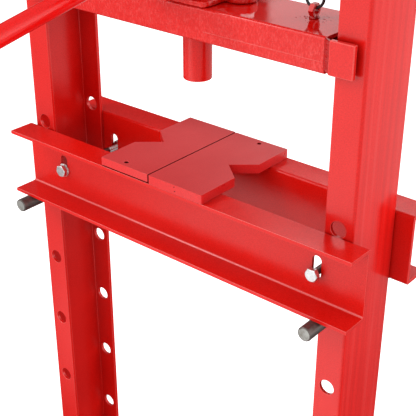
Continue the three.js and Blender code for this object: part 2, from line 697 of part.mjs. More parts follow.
// Two straps side by side with the fulcrum pin through their tops and the foot pin through the base's boss.
function pivotLink() {
  const inner = PUMP_BOSS_HALF_WIDTH + 0.5;
  const outer = inner + 3;
  const half = 7.5;
  const lean = (FULCRUM_Y - LINK_FOOT_Y) / (FULCRUM_Z - LINK_FOOT_Z);
  const strap = outline([
    [LINK_FOOT_Y - half - lean * half, LINK_FOOT_Z - half, 6],
    [LINK_FOOT_Y + half - lean * half, LINK_FOOT_Z - half, 6],
    [FULCRUM_Y + half + lean * half, FULCRUM_Z + half, 6],
    [FULCRUM_Y - half + lean * half, FULCRUM_Z + half, 6],
  ]);
  return prism(strap, 'x', -outer, -inner)
    .add(prism(strap, 'x', inner, outer))
    .add(rod(FULCRUM_PIN_RADIUS, 'x', -outer - 2, outer + 2, [FULCRUM_Y, FULCRUM_Z], 16))
    .add(rod(FULCRUM_PIN_RADIUS, 'x', -outer - 2, outer + 2, [LINK_FOOT_Y, LINK_FOOT_Z], 16));
}

function releaseValve() {
  const face = -BASE_FLANGE_HALF_Y - 3 - FIT;
  return rod(VALVE_RADIUS, 'y', face - 18, face, [VALVE_X, VALVE_Z], 20)
    .add(rod(VALVE_RADIUS - 1.5, 'y', face - 1, -50, [VALVE_X, VALVE_Z], 16))
    .subtract(box([VALVE_X - 1.5, face - 20, 0], [VALVE_X + 1.5, face - 10, 30]));
}

place('jack_base', jackBase(), 'red_enamel', jack);
place('jack_bolt_left', earBolt(-1), 'zinc', jack);
place('jack_bolt_right', earBolt(1), 'zinc', jack);
place('jack_reservoir', reservoir(), 'red_enamel', jack);
const pressureCylinder = tube(CYLINDER_OUTER, CYLINDER_INNER, 'z', BASE_HEIGHT, CYLINDER_TOP, [0, 0], 32);
place('jack_pressure_cylinder', pressureCylinder, 'ground_steel', jack);
place('jack_top_nut', topNut(), 'red_enamel', jack);
place('jack_filler_plug', fillerPlug(), 'black_rubber', jack);
place('jack_ram', jackRam(), 'ground_steel', jack);
place('jack_extension_screw', extensionScrew(), 'ground_steel', jack);
const pumpCylinder = tube(PUMP_OUTER, PUMP_BORE, 'z', PUMP_BOSS_TOP, PUMP_TOP, [0, PUMP_Y]);
place('pump_cylinder', pumpCylinder, 'zinc', jack);
place('pump_plunger', pumpPlunger(), 'ground_steel', jack);
place('pump_link', pivotLink(), 'red_enamel', jack);
place('release_valve', releaseValve(), 'zinc', jack);

// ---------------------------------------------------------------- pump handle

// The lever's own axis runs forwards from the fulcrum and droops until the plunger is down.
const lever = new THREE.Group();
lever.position.set(0, FULCRUM_Y, FULCRUM_Z);
lever.rotation.x = LEVER_DROOP;
jack.add(lever);

function handleSocket() {
  const cheek = outline([
    [CHEEK_TIP, -CHEEK_TIP, 6], [CHEEK_TIP, CHEEK_TIP, 6],
    [-SOCKET_BACK - 2, CHEEK_ROOT], [-SOCKET_BACK - 2, -CHEEK_ROOT],
  ]);
  let solid = rod(HANDLE_SOCKET_RADIUS, 'y', -SOCKET_FRONT, -SOCKET_BACK);
  solid = solid.add(prism(cheek, 'x', -EAR_OUTER_X, -EAR_INNER_X));
  solid = solid.add(prism(cheek, 'x', EAR_INNER_X, EAR_OUTER_X));
  solid = solid.subtract(rod(HANDLE_RADIUS + FIT, 'y', -SOCKET_FRONT - 1, -SOCKET_BACK - SOCKET_WALL));
  solid = solid.subtract(rod(FULCRUM_PIN_RADIUS + FIT, 'x', -20, 20, [0, 0], 16));
  // The plunger's pin slides along this slot as the lever swings.
  const slotLow = [-EAR_OUTER_X - 1, PIN_SLOT_FRONT, -PIN_SLOT_HALF_HEIGHT];
  const slotHigh = [EAR_OUTER_X + 1, PIN_SLOT_BACK, PIN_SLOT_HALF_HEIGHT];
  return solid.subtract(box(slotLow, slotHigh));
}

function pumpHandle() {
  const inner = -SOCKET_BACK - SOCKET_WALL - FIT;
  return tube(HANDLE_RADIUS, HANDLE_RADIUS - HANDLE_WALL, 'y', -HANDLE_END, inner);
}

function handleGrip() {
  const end = -HANDLE_END - 4;
  return rod(GRIP_RADIUS, 'y', end, end + GRIP_LENGTH)
    .subtract(rod(HANDLE_RADIUS + FIT, 'y', -HANDLE_END - FIT, end + GRIP_LENGTH + 1));
}

place('handle_socket', handleSocket(), 'red_enamel', lever);
place('pump_handle', pumpHandle(), 'red_enamel', lever);
place('handle_grip', handleGrip(), 'black_rubber', lever);

export default group;
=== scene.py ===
import json
import random
from math import copysign, cos, hypot, pi, radians, sin, sqrt, tan

import bmesh
import bpy
from mathutils import Matrix, Vector, noise


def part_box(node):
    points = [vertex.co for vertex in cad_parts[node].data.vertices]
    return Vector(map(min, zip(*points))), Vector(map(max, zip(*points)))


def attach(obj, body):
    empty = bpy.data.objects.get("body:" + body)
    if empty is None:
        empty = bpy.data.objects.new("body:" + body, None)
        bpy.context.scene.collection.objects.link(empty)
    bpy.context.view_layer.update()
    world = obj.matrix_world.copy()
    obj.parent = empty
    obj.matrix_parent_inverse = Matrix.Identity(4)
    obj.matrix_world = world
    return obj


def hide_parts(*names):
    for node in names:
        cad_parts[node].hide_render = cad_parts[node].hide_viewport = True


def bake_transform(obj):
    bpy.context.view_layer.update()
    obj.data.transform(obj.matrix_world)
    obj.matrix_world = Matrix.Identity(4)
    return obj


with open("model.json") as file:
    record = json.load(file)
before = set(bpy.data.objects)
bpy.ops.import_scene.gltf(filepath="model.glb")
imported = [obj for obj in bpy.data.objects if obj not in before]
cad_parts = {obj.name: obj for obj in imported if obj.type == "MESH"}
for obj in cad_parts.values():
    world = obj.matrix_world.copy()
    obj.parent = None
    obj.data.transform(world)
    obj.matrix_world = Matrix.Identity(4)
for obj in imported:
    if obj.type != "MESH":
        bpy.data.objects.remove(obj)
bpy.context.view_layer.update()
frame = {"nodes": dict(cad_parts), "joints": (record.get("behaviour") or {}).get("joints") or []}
scene = bpy.context.scene

# Lengths are in millimetres until finish_piece(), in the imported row's frame: X right, Y back, Z up.
MM = 0.001
SHEET = 5
BEND = 4
INNER_BEND = 1.5
WASHER = 1.6
BOLT_HOLE = 6.3
PIN_HOLE = 11
SIDES = (("left", -1), ("right", 1))
ENDS = (("front", -1), ("rear", 1))
# Places in a piece's list of materials after the first; painted pieces have a lighter paint on their rounded
# edges, a painted highlight, then welds.
EDGE, WELD, EXTRA, LAST = 1, 2, 3, 4
chance = random.Random(11)


def span(node):
    low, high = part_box(node)
    return low / MM, high / MM


def middle(node):
    low, high = span(node)
    return (low + high) / 2


def pair(stem, names=SIDES):
    """For each of two like parts: its side's name and sign, its node, and its box's low and high corners."""
    for name, side in names:
        node = f"{stem}_{name}"
        yield name, side, node, *span(node)


def ends_of(node, axis):
    """A round part's two ends along the axis, and half its width."""
    low, high = span(node)
    index = "xyz".index(axis)
    return low[index], high[index], (high.x - low.x) / 2


def flat(point, axis):
    """A point's two coordinates across the axis."""
    return tuple(value for value, letter in zip(point, "xyz") if letter != axis)


def directed(sign, low, high):
    """The ends of a stretch, in the order in which the sign's direction meets them."""
    return (low, high) if sign > 0 else (high, low)


def lump(x, y, z):
    """Soft noise at a point."""
    return noise.noise(Vector((x, y, z)))


# ---------------------------------------------------------------- outlines

def circle(radius, count=32, centre=(0, 0), phase=0.0):
    turns = [phase + 2 * pi * k / count for k in range(count)]
    return [(centre[0] + radius * cos(a), centre[1] + radius * sin(a)) for a in turns]


def rounded(corners, steps=8):
    """Corners given as (u, v) or (u, v, radius) become a closed outline with rounded corners."""
    points = []
    for i, corner in enumerate(corners):
        here = Vector(corner[:2])
        radius = corner[2] if len(corner) > 2 else 0
        if not radius:
            points.append(tuple(here))
            continue
        before = (Vector(corners[i - 1][:2]) - here).normalized()
        after = (Vector(corners[(i + 1) % len(corners)][:2]) - here).normalized()
        half = before.angle(after) / 2
        centre = here + (before + after).normalized() * radius / sin(half)
        first = here + before * radius / tan(half) - centre
        turn = pi - 2 * half
        if before.x * after.y - before.y * after.x > 0:
            turn = -turn
        points += [tuple(Matrix.Rotation(turn * k / steps, 2) @ first + centre) for k in range(steps + 1)]
    return points


def rectangle(u0, v0, u1, v1, radius=0, steps=6):
    return rounded([(u0, v0, radius), (u1, v0, radius), (u1, v1, radius), (u0, v1, radius)], steps)


def channel(back, tip, bottom, top, inner=INNER_BEND):
    """A folded channel's section in (depth, height), with its web at back and its flanges' edges at tip."""
    web = back + copysign(SHEET, tip - back)
    return rounded([
        (back, bottom, BEND), (back, top, BEND), (tip, top), (tip, top - SHEET), (web, top - SHEET, inner),
        (web, bottom + SHEET, inner), (tip, bottom + SHEET), (tip, bottom),
    ])


# ---------------------------------------------------------------- meshes

PLANES = {
    "x": lambda u, v, w: (w, u, v),
    "y": lambda u, v, w: (u, w, v),
    "z": lambda u, v, w: (u, v, w),
}


def in_scene(name, data):
    obj = bpy.data.objects.new(name, data)
    scene.collection.objects.link(obj)
    return obj


def to_object(bm):
    mesh = bpy.data.meshes.new("part")
    bm.to_mesh(mesh)
    bm.free()
    return in_scene("part", mesh)


def outward(bm):
    bmesh.ops.recalc_face_normals(bm, faces=bm.faces)
    return bm


def skin(rings, loop=False):
    """A closed surface through rings of points; a ring of one point closes the surface in a tip."""
    bm = bmesh.new()
    made = [[bm.verts.new(p) for p in ring] for ring in rings]
    pairs = list(zip(made, made[1:]))
    if loop:
        pairs.append((made[-1], made[0]))
    else:
        for ring in (made[0], made[-1]):
            if len(ring) > 2:
                bm.faces.new(ring)
    for pair in pairs:
        count = max(len(ring) for ring in pair)
        for i in range(count):
            j = (i + 1) % count
            corners = [ring[k % len(ring)] for ring, ks in zip(pair, ((i, j), (j, i))) for k in ks]
            bm.faces.new(list(dict.fromkeys(corners)))
    return to_object(outward(bm))


def prism(points, axis, start, stop):
    put = PLANES[axis]
    return skin([[put(u, v, w) for u, v in points] for w in sorted((start, stop))])


def rod(radius, axis, start, stop, centre=(0, 0), count=40):
    return prism(circle(radius, count, centre, pi / count), axis, start, stop)


def box(low, high):
    return prism(rectangle(low[0], low[1], high[0], high[1]), "z", low[2], high[2])


def lathe(profile, axis, centre=(0, 0), count=48, loop=False):
    """A profile of (radius, distance along the axis) turned about the axis."""
    put = PLANES[axis]
    rings = []
    for radius, w in profile:
        points = circle(radius, count, centre) if radius else [centre]
        rings.append([put(u, v, w) for u, v in points])
    return skin(rings, loop)


def turned(profile, axis, centre=(0, 0), count=48, loop=False, degrees=35):
    return smooth(lathe(profile, axis, centre, count, loop), degrees)


def sweep(path, radius, sides=10):
    """A round section carried along a path; radius is a number or a function of the distance travelled."""
    path = [Vector(p) for p in path]
    last = len(path) - 1
    rings = []
    across = None
    travelled = 0.0
    for i, point in enumerate(path):
        ahead = (path[min(i + 1, last)] - path[max(i - 1, 0)]).normalized()
        if across is None:
            across = ahead.orthogonal().normalized()
        across = (across - ahead * across.dot(ahead)).normalized()
        other = ahead.cross(across)
        travelled += (point - path[i - 1]).length if i else 0
        r = radius(travelled) if callable(radius) else radius
        rings.append([point + across * u + other * v for u, v in circle(r, sides)])
    return skin(rings)


def modify(obj, kind, **settings):
    modifier = obj.modifiers.new(kind, kind)
    for key, value in settings.items():
        setattr(modifier, key, value)
    return obj


def apply_modifiers(obj):
    bpy.context.view_layer.update()
    mesh = bpy.data.meshes.new_from_object(obj.evaluated_get(bpy.context.evaluated_depsgraph_get()))
    obj.modifiers.clear()
    old = obj.data
    obj.data = mesh
    bpy.data.meshes.remove(old)
    return obj


def discard(obj):
    mesh = obj.data
    bpy.data.objects.remove(obj)
    bpy.data.meshes.remove(mesh)


def join(*objects):
    bm = bmesh.new()
    for obj in objects:
        bm.from_mesh(obj.data)
        discard(obj)
    return to_object(bm)


def boolean(obj, operation, tool):
    modify(obj, "BOOLEAN", operation=operation, object=tool, solver="EXACT")
    apply_modifiers(obj)
    discard(tool)
    return obj


def cut(obj, *tools):
    return boolean(obj, "DIFFERENCE", join(*tools))


def fuse(obj, *others):
    for other in others:
        boolean(obj, "UNION", other)
    return obj


def moved(obj, matrix):
    obj.data.transform(matrix)
    return obj


def make_room(obj, index):
    """Gives the mesh empty places for materials, up to the index."""
    while len(obj.data.materials) <= index:
        obj.data.materials.append(None)


def set_faces(obj, key, value):
    obj.data.polygons.foreach_set(key, [value] * len(obj.data.polygons))


def soften(obj, width, segments=2, degrees=30, edge_finish=0):
    """Rounds the edges; the rounded strips may take another material of the piece."""
    modify(obj, "BEVEL", width=width, segments=segments, limit_method="ANGLE", angle_limit=radians(degrees),
           harden_normals=True, miter_outer="MITER_ARC", material=edge_finish)
    if edge_finish:
        make_room(obj, edge_finish)
    set_faces(obj, "use_smooth", True)
    return apply_modifiers(obj)


def sheet(obj, width=0.7, segments=2):
    """Rounds the edges of painted steel; the rounded strips take a lighter paint, a painted highlight along each
    edge.
    """
    return soften(obj, width, segments, 30, EDGE)


def flat_normals(obj):
    """Lets a joined part's broad faces keep their own normals, so that they reflect like flat sheet."""
    return apply_modifiers(modify(obj, "WEIGHTED_NORMAL", weight=50, keep_sharp=True))


def smooth(obj, degrees=35):
    """Smooth shading that stays sharp over steep edges."""
    bm = bmesh.new()
    bm.from_mesh(obj.data)
    for face in bm.faces:
        face.smooth = True
    for edge in bm.edges:
        edge.smooth = edge.calc_face_angle(0) < radians(degrees)
    bm.to_mesh(obj.data)
    bm.free()
    return obj


def weather(obj, amount, size, seed=0.0):
    """Moves each point along its normal by soft noise."""
    shift = Vector((seed, seed, seed))
    normals = [n.vector.copy() for n in obj.data.vertex_normals]
    points = [v.co.copy() for v in obj.data.vertices]
    coordinates = []
    for point, normal in zip(points, normals):
        coordinates.extend(point + normal * (amount * noise.noise(point / size + shift)))
    obj.data.vertices.foreach_set("co", coordinates)
    obj.data.update()


def cast(obj, voxel, rough):
    """A casting's skin: edges and corners run into each other and the surface is uneven."""
    modify(obj, "REMESH", mode="VOXEL", voxel_size=voxel)
    apply_modifiers(modify(obj, "SMOOTH", factor=0.6, iterations=4))
    weather(obj, rough, 5.0)
    weather(obj, rough * 0.6, 1.9, 7.0)
    set_faces(obj, "use_smooth", True)
    return obj


def pick_faces(obj, index, test):
    """Gives the faces whose middle and normal pass the test one of the piece's materials."""
    make_room(obj, index)
    for face in obj.data.polygons:
        if test(face.center, face.normal):
            face.material_index = index


def with_finish(obj, index):
    """Gives all of a part's faces one of the piece's materials, so that it keeps it when joined."""
    make_room(obj, index)
    set_faces(obj, "material_index", index)
    return obj


def hexagon(flats, axis, centre, face, end, both=False, phase=0.0):
    """A bolt's head or a nut from one face to its chamfered end, or with both chamfered."""
    away = copysign(1, end - face)
    corner = flats / sqrt(3)
    shoulder = flats / 2 * 0.95
    rise = (corner - shoulder) * 0.5
    wide = corner + 0.1
    block = prism(circle(corner, 6, centre, phase), axis, face, end)
    bottom = [(0, face), (shoulder, face), (wide, face + away * rise)] if both else [(0, face), (wide, face)]
    cone = lathe(bottom + [(wide, end - away * rise), (shoulder, end), (0, end)], axis, centre)
    return soften(boolean(block, "INTERSECT", cone), 0.22, 2, 25)


def washer(outer, inner, axis, centre, start, stop):
    low, high = sorted((start, stop))
    e = 0.3
    return turned([
        (inner, low + e), (inner + e, low), (outer - e, low), (outer, low + e),
        (outer, high - e), (outer - e, high), (inner + e, high), (inner, high - e),
    ], axis, centre, loop=True)


def thread(radius, pitch, axis, centre, start, end, sides=28):
    """A threaded rod, tapered at its end."""
    put = PLANES[axis]
    steps = max(6, round(abs(end - start) / pitch * 6))
    depth = 0.55 * pitch
    rings = []
    for k in range(steps + 1):
        w = start + (end - start) * k / steps
        taper = min(0.0, (abs(end - w) - pitch) * 0.8)
        ring = []
        for i in range(sides):
            a = 2 * pi * i / sides
            phase = (w / pitch - i / sides) % 1
            r = min(radius - depth * (1 - abs(2 * phase - 1)), radius + taper)
            ring.append(put(centre[0] + r * cos(a), centre[1] + r * sin(a), w))
        rings.append(ring)
    return smooth(skin(rings), 60)


def weld(path, radius, pitch=2.6, wander=0.35):
    """A scalloped bead along a path."""
    path = [Vector(p) for p in path]
    points = []
    for first, second in zip(path, path[1:]):
        count = max(2, round((second - first).length / 0.7))
        points += [first.lerp(second, k / count) for k in range(count)]
    points.append(path[-1])
    total = len(points)
    shaken = []
    for p in points:
        push = Vector((
            noise.noise(p * 0.21), noise.noise(p * 0.21 + Vector((9, 3, 1))),
            noise.noise(p * 0.25 + Vector((2, 8, 5))),
        ))
        shaken.append(p + push * wander * radius)

    def size(distance):
        ripple = abs(sin(pi * distance / pitch))
        ends = min(1.0, 0.35 + distance / (2 * radius), 0.35 + (0.7 * total - distance) / (2 * radius))
        lumps = lump(distance * 0.3, total, 0)
        return radius * max(0.3, ends) * (0.86 + 0.14 * ripple + 0.1 * lumps)

    return with_finish(smooth(sweep(shaken, size, 12), 80), WELD)


def ring_weld(radius, z, count, *bead, centre=(0, 0)):
    path = [(x, y, z) for x, y in circle(radius, count, centre)]
    return weld(path + path[:1], *bead)


def droplets(spots):
    """Small flattened drops of spatter: each spot is (point, normal, radius)."""
    bm = bmesh.new()
    for point, normal, radius in spots:
        turn = Vector((0, 0, 1)).rotation_difference(Vector(normal)).to_matrix().to_4x4()
        shape = Matrix.Diagonal((radius, radius * chance.uniform(0.75, 1.3), radius * 0.5, 1))
        spin = Matrix.Rotation(chance.uniform(0, 3), 4, "Z")
        place = Matrix.Translation(point) @ turn @ spin @ shape
        bmesh.ops.create_icosphere(bm, subdivisions=2, radius=1, matrix=place)
    return smooth(to_object(outward(bm)), 80)


# ---------------------------------------------------------------- materials

class Nodes:
    """The nodes of a material or a world; a value that is another node's socket is linked."""

    def __init__(self, owner):
        owner.use_nodes = True
        self.tree = owner.node_tree

    def fill(self, made, inputs):
        for key, value in inputs.items():
            socket = made.inputs[key]
            if isinstance(value, bpy.types.NodeSocket):
                self.tree.links.new(value, socket)
            else:
                socket.default_value = (*value, 1) if socket.type == "RGBA" else value

    def fill_named(self, name, inputs):
        self.fill(self.tree.nodes[name], inputs)

    def add(self, kind, inputs, output=0, **properties):
        made = self.tree.nodes.new("ShaderNode" + kind)
        for key, value in properties.items():
            setattr(made, key, value)
        self.fill(made, inputs)
        return made.outputs[output]

    def noise(self, place, scale, detail=2.0, rough=0.5):
        inputs = {"Vector": place, "Scale": scale, "Detail": detail, "Roughness": rough}
        return self.add("TexNoise", inputs, "Fac")

    def spread(self, value, low, high, start=0.3, stop=0.7):
        """Goes from low to high while the value goes from start to stop."""
        inputs = {"Value": value, "From Min": start, "From Max": stop, "To Min": low, "To Max": high}
        return self.add("MapRange", inputs, "Result")

    def mix(self, factor, first, second):
        return self.add("Mix", {0: factor, 6: first, 7: second}, 2, data_type="RGBA")

    def over(self, tone, colour, value, *levels):
        """Lays a colour over a tone, by as much as spread() gives for the value and levels."""
        return self.mix(self.spread(value, *levels), tone, colour)

    def drawn(self, place, scale, detail, rough=0.5, rotation=(0, 0, 0)):
        """Noise stretched by the scale's three parts."""
        return self.noise(self.stretched(place, scale, rotation), 1, detail, rough)

    def bump(self, height, distance, strength, normal=None):
        inputs = {"Height": height, "Distance": distance, "Strength": strength}
        if normal is not None:
            inputs["Normal"] = normal
        return self.add("Bump", inputs, "Normal")

    def stretched(self, place, scale, rotation=(0, 0, 0)):
        return self.add("Mapping", {"Vector": place, "Scale": scale, "Rotation": rotation}, "Vector")

    def maths(self, operation, *values):
        return self.add("Math", dict(enumerate(values)), operation=operation)

    def dot(self, first, second):
        return self.add("VectorMath", {0: first, 1: second}, "Value", operation="DOT_PRODUCT")

    def ramp(self, value, stops, reach=1.0):
        """A ramp of greys through (place, level) stops; the places are divided by `reach`."""
        colour = self.add("ValToRGB", {"Fac": value}, "Color")
        elements = colour.node.color_ramp.elements
        while len(elements) < len(stops):
            elements.new(0.5)
        for element, (place, level) in zip(elements, stops):
            element.position = place / reach
            element.color = (level, level, level, 1)
        return colour

    def camera_ray(self):
        return self.add("LightPath", {}, "Is Camera Ray")


def start_material(name):
    material = bpy.data.materials.new(name)
    nodes = Nodes(material)
    return material, nodes, nodes.add("TexCoord", {}, "Object")


def shaded(colour, red, others=None, lift=0.0):
    """The colour with its red and its other two parts multiplied, then lifted."""
    others = others or red
    return tuple(min(1, part * factor + lift) for part, factor in zip(colour, (red, others, others)))


def enamel(kind, colour=(0.83, 0.007, 0.004), gloss=0.2, peel=1.0, chips=0.0, coarse=0.0, reflection_streaks=0.0,
           ior=1.5, marks_and_highlights=0.0):
    """Thick red paint: clouds, specks and grain of tone, painted shade in corners, orange peel and long ripples.

    It may have chips and scratches, a coarse skin, streaks of painted reflection, or short dark marks and pale
    ones that are painted highlights.
    """
    material, nodes, place = start_material(f"red_enamel_{kind}" if kind else "red_enamel")
    clouds = nodes.spread(nodes.noise(place, 7, 3), 0, 1)
    tone = nodes.mix(clouds, shaded(colour, 0.93, 0.8), shaded(colour, 1.04, 1.3))
    tone = nodes.over(tone, (0.45, 0.004, 0.003), nodes.noise(place, 900, 1), 0, 0.25, 0.62, 0.74)
    grain = nodes.noise(place, 620, 2, 0.6)
    tone = nodes.over(tone, shaded(colour, 0.72), grain, 0.5, 0, 0.3, 0.5)
    tone = nodes.over(tone, shaded(colour, 1.15, lift=0.02), grain, 0, 0.35, 0.5, 0.7)
    rough = nodes.spread(nodes.noise(place, 38, 4, 0.6), gloss - 0.05, gloss + 0.07)
    # Streaks of painted reflection: the waviness of the sheet, as reflections show it, laid into the colour.
    if reflection_streaks:
        drawn = nodes.drawn(place, (95, 95, 2.2), 4, 0.62)
        tone = nodes.over(tone, (0.72, 0.005, 0.003), drawn, reflection_streaks, 0, 0.36, 0.5)
        tone = nodes.over(tone, (0.93, 0.05, 0.045), drawn, 0, reflection_streaks, 0.52, 0.68)
    if chips:
        lines = nodes.drawn(place, (1400, 60, 60), 2, rotation=(0, 0, 0.6))
        more = nodes.drawn(place, (70, 1300, 70), 2, rotation=(0, 0, -0.35))
        scratch = nodes.spread(nodes.maths("MAXIMUM", lines, more), 0, 1, 0.72, 0.78)
        where = nodes.spread(nodes.noise(place, 26, 2), 0, 1, 0.52, 0.66)
        mask = nodes.maths("MULTIPLY", nodes.maths("MULTIPLY", scratch, where), chips)
        tone = nodes.mix(mask, tone, (0.34, 0.05, 0.05))
        rough = nodes.maths("ADD", rough, nodes.spread(mask, 0, 0.2, 0, 1))
    # Painted shade: the colour darkens in corners and recesses, where ambient occlusion finds them.
    corners = nodes.add("AmbientOcclusion", {"Distance": 0.09}, "AO", samples=6)
    tone = nodes.over(tone, shaded(colour, 0.3), corners, 0.62, 0, 0.2, 0.9)
    # Short dark marks and pale ones; the pale ones are painted highlights.
    if marks_and_highlights:
        marks = nodes.drawn(place, (620, 100, 210), 3, 0.6)
        tone = nodes.over(tone, (0.7, 0.004, 0.003), marks, marks_and_highlights, 0, 0.32, 0.5)
        tone = nodes.over(tone, (0.96, 0.13, 0.12), marks, 0, marks_and_highlights, 0.5, 0.68)
    normal = nodes.bump(nodes.noise(place, 330, 2, 0.45), 0.00003 * peel, 0.8)
    normal = nodes.bump(nodes.noise(place, 46, 2, 0.4), 0.00022 * peel, 0.5, normal)
    if coarse:
        normal = nodes.bump(nodes.noise(place, 700, 3, 0.7), 0.0002 * coarse, 0.7, normal)
    nodes.fill_named("Principled BSDF", {"Base Color": tone, "Roughness": rough, "IOR": ior, "Normal": normal})
    return material


def metal(name, colour, gloss, grain, dirt, stain_and_shade, metallic=1.0, relief=0.4):
    """Bare or plated steel: tone and roughness follow a drawn grain, with stains in patches."""
    material, nodes, place = start_material(name)
    grained = nodes.drawn(place, grain, 4, 0.65)
    patches = nodes.noise(place, 110, 4, 0.7)
    tone = nodes.mix(nodes.spread(grained, 0, 1), shaded(colour, 0.8), colour)
    tone = nodes.over(tone, dirt, patches, 0, stain_and_shade, 0.45, 0.7)
    drawn = nodes.spread(grained, gloss - 0.06, gloss + 0.08)
    nodes.fill_named("Principled BSDF", {
        "Base Color": tone, "Roughness": nodes.maths("ADD", drawn, nodes.spread(patches, 0, 0.12, 0.4, 0.7)),
        "Metallic": metallic, "Normal": nodes.bump(grained, 0.00004, relief),
    })
    return material


def rubber(name, colour=(0.014, 0.014, 0.015), gloss=0.5, relief=0.5):
    material, nodes, place = start_material(name)
    dust = nodes.noise(place, 60, 5, 0.7)
    nodes.fill_named("Principled BSDF", {
        "Base Color": nodes.mix(nodes.spread(dust, 0, 0.5, 0.5, 0.8), colour, (0.06, 0.055, 0.05)),
        "Roughness": nodes.spread(dust, gloss, gloss + 0.15),
        "Normal": nodes.bump(nodes.noise(place, 1500, 2), 0.00005, relief),
    })
    return material


PAINT = enamel("", peel=1.6)
# A lighter, pinker paint for the rounded edges: a painted highlight.
PAINT_EDGE_HIGHLIGHT = enamel("edge", (0.92, 0.07, 0.06))
# A lighter copy of the enamel for the handle: painted light.
PAINT_HANDLE_LIT = enamel("handle", (0.99, 0.004, 0.003), 0.13, ior=1.45)
# A pale paint for the table channels' inner bend: a painted highlight.
PAINT_BEND_HIGHLIGHT = enamel("bend_highlight", (0.88, 0.12, 0.11), 0.16)
PAINT_PLATE = enamel("worn", (0.74, 0.05, 0.052), 0.38, chips=0.9)
PAINT_CAST = enamel("cast", (0.8, 0.008, 0.004), 0.17, 1.6, coarse=1.0)
PAINT_PLATE_SIDE = enamel("side", (0.86, 0.02, 0.02), 0.32, 1.4)
# A lighter copy of the enamel for the uprights' outward faces, painted light, with streaks of painted
# reflection.
PAINT_POST_LIT = enamel("lit_post", (0.95, 0.007, 0.004), peel=1.6, reflection_streaks=0.5)
PAINT_TABLE = enamel("table", (0.85, 0.008, 0.004), peel=2.2, coarse=0.6, ior=1.4)
# A paler paint for the tops of the table flanges' edges: a painted highlight.
PAINT_TIP_HIGHLIGHT = enamel("tip_highlight", (0.94, 0.24, 0.22))
PAINT_BAR = enamel("bar", gloss=0.06, peel=0.15)
# The tube's sides and underside carry pale marks of painted highlight among darker ones.
PAINT_BAR_FACE = enamel("bar_face", gloss=0.24, peel=1.5, coarse=0.5, marks_and_highlights=0.4)
# A near-black paint for the plates' recesses and undersides: painted shade.
PAINT_SHADE = enamel("painted_shade", (0.16, 0.003, 0.004), 0.8, ior=1.15)
PAINT_WELD = enamel("weld", (0.52, 0.006, 0.005), 0.24, 1.6, coarse=0.6)
ZINC = metal("zinc_plate", (0.8, 0.81, 0.82), 0.26, (300, 300, 300), (0.5, 0.47, 0.4), 0.35)
PIN_STEEL = metal("pin_steel", (0.19, 0.16, 0.15), 0.4, (900, 40, 900), (0.07, 0.045, 0.035), 0.5, 0.9, 0.8)
PIN_END = metal("pin_end", (0.5, 0.49, 0.46), 0.42, (700, 700, 700), (0.18, 0.15, 0.12), 0.6, 0.9, 0.8)
GROUND = metal("ground_steel", (0.72, 0.72, 0.73), 0.14, (50, 50, 1600), (0.4, 0.36, 0.3), 0.15)
WIRE = rubber("black_wire", (0.012, 0.012, 0.013), 0.3, 0.2)
RUBBER = rubber("black_rubber")


# ---------------------------------------------------------------- pieces

def finish_piece(obj, name, body, slot, materials, *nodes):
    obj.name = name
    obj.data.name = name
    obj.data.transform(Matrix.Scale(MM, 4))
    keep = [p.material_index for p in obj.data.polygons]
    obj.data.materials.clear()
    for material in materials:
        obj.data.materials.append(material)
    obj.data.polygons.foreach_set("material_index", [min(k, len(materials) - 1) for k in keep])
    obj.data.update()
    if body:
        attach(obj, body)
    if nodes:
        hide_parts(*nodes)
    return obj


def painted(obj, node, kind, body, paint=None, extra=()):
    """A painted piece: its own paint, then the lighter paint of its rounded edges, a painted highlight, then
    those of welds and of any further kinds of face.
    """
    paints = [paint or PAINT, PAINT_EDGE_HIGHLIGHT, PAINT_WELD, *extra]
    finish_piece(obj, f"{node}_{kind}", body, "red_enamel", paints, node)


def unpainted(obj, node, kind, body, slot, *materials):
    return finish_piece(obj, f"{node}_{kind}", body, slot, materials, node)


def zinced(obj, node, kind, body, *more):
    unpainted(obj, node, kind, body, "zinc_plate", ZINC, *more)


FLOOR = span("foot_left")[0].z
HOLE_LEVELS = [FLOOR + 100.85 + 120 * row for row in range(7)]


def bolt_hole(node, axis, start, stop, radius=BOLT_HOLE):
    return rod(radius, axis, start, stop, flat(middle(node), axis), 24)


def through_bolt(node, axis, radius, head_at, nut_at):
    """A bolt tightened through plates, with its head, washers, nut and threaded end, as one piece."""
    away = copysign(1, head_at - nut_at)
    centre = flat(middle(node), axis)
    tip, head_end = directed(away, *(corner["xyz".index(axis)] for corner in span(node)))
    flats = radius * 3.1
    under_head, under_nut = head_at + away * WASHER, nut_at - away * WASHER
    thread_start = nut_at - away * 2
    parts = [
        hexagon(flats, axis, centre, under_head, head_end, phase=0.3),
        washer(flats * 0.62, radius, axis, centre, head_at, under_head),
        hexagon(flats, axis, centre, under_nut, nut_at - away * radius * 1.7, True, 0.12),
        washer(flats * 0.62, radius, axis, centre, nut_at, under_nut),
        smooth(rod(radius, axis, head_at, thread_start, centre)),
        thread(radius, 1.75, axis, centre, thread_start, tip),
    ]
    zinced(join(*parts), node, "set", "frame")


def uprights():
    for name, side, node, low, high in pair("upright"):
        inner, outer = directed(side, low.x, high.x)
        web = outer - side * SHEET
        section = rounded([
            (inner, low.y), (outer, low.y, BEND), (outer, high.y, BEND), (inner, high.y),
            (inner, high.y - SHEET), (web, high.y - SHEET, INNER_BEND), (web, low.y + SHEET, INNER_BEND),
            (inner, low.y + SHEET),
        ])
        through = (low.y - 10, high.y + 10)
        pin = middle(f"table_pin_{name}")
        tools = [rod(PIN_HOLE, "y", *through, (pin.x, z)) for z in HOLE_LEVELS]
        tools += [bolt_hole(f"head_bolt_{name}_{level}", "y", *through) for level in ("lower", "upper")]
        for end, _ in ENDS:
            tools.append(bolt_hole(f"foot_bolt_{name}_{end}", "x", outer + side * 10, outer - side * 20))
        shell = sheet(cut(prism(section, "z", low.z, high.z), *tools))
        # The outward faces take a lighter, streaked copy of the paint: painted light and painted reflection.
        pick_faces(shell, EXTRA, lambda at, out: out.x * side > 0.9 and at.x * side > abs(web))
        painted(shell, node, "shell", "frame", extra=(PAINT_POST_LIT,))


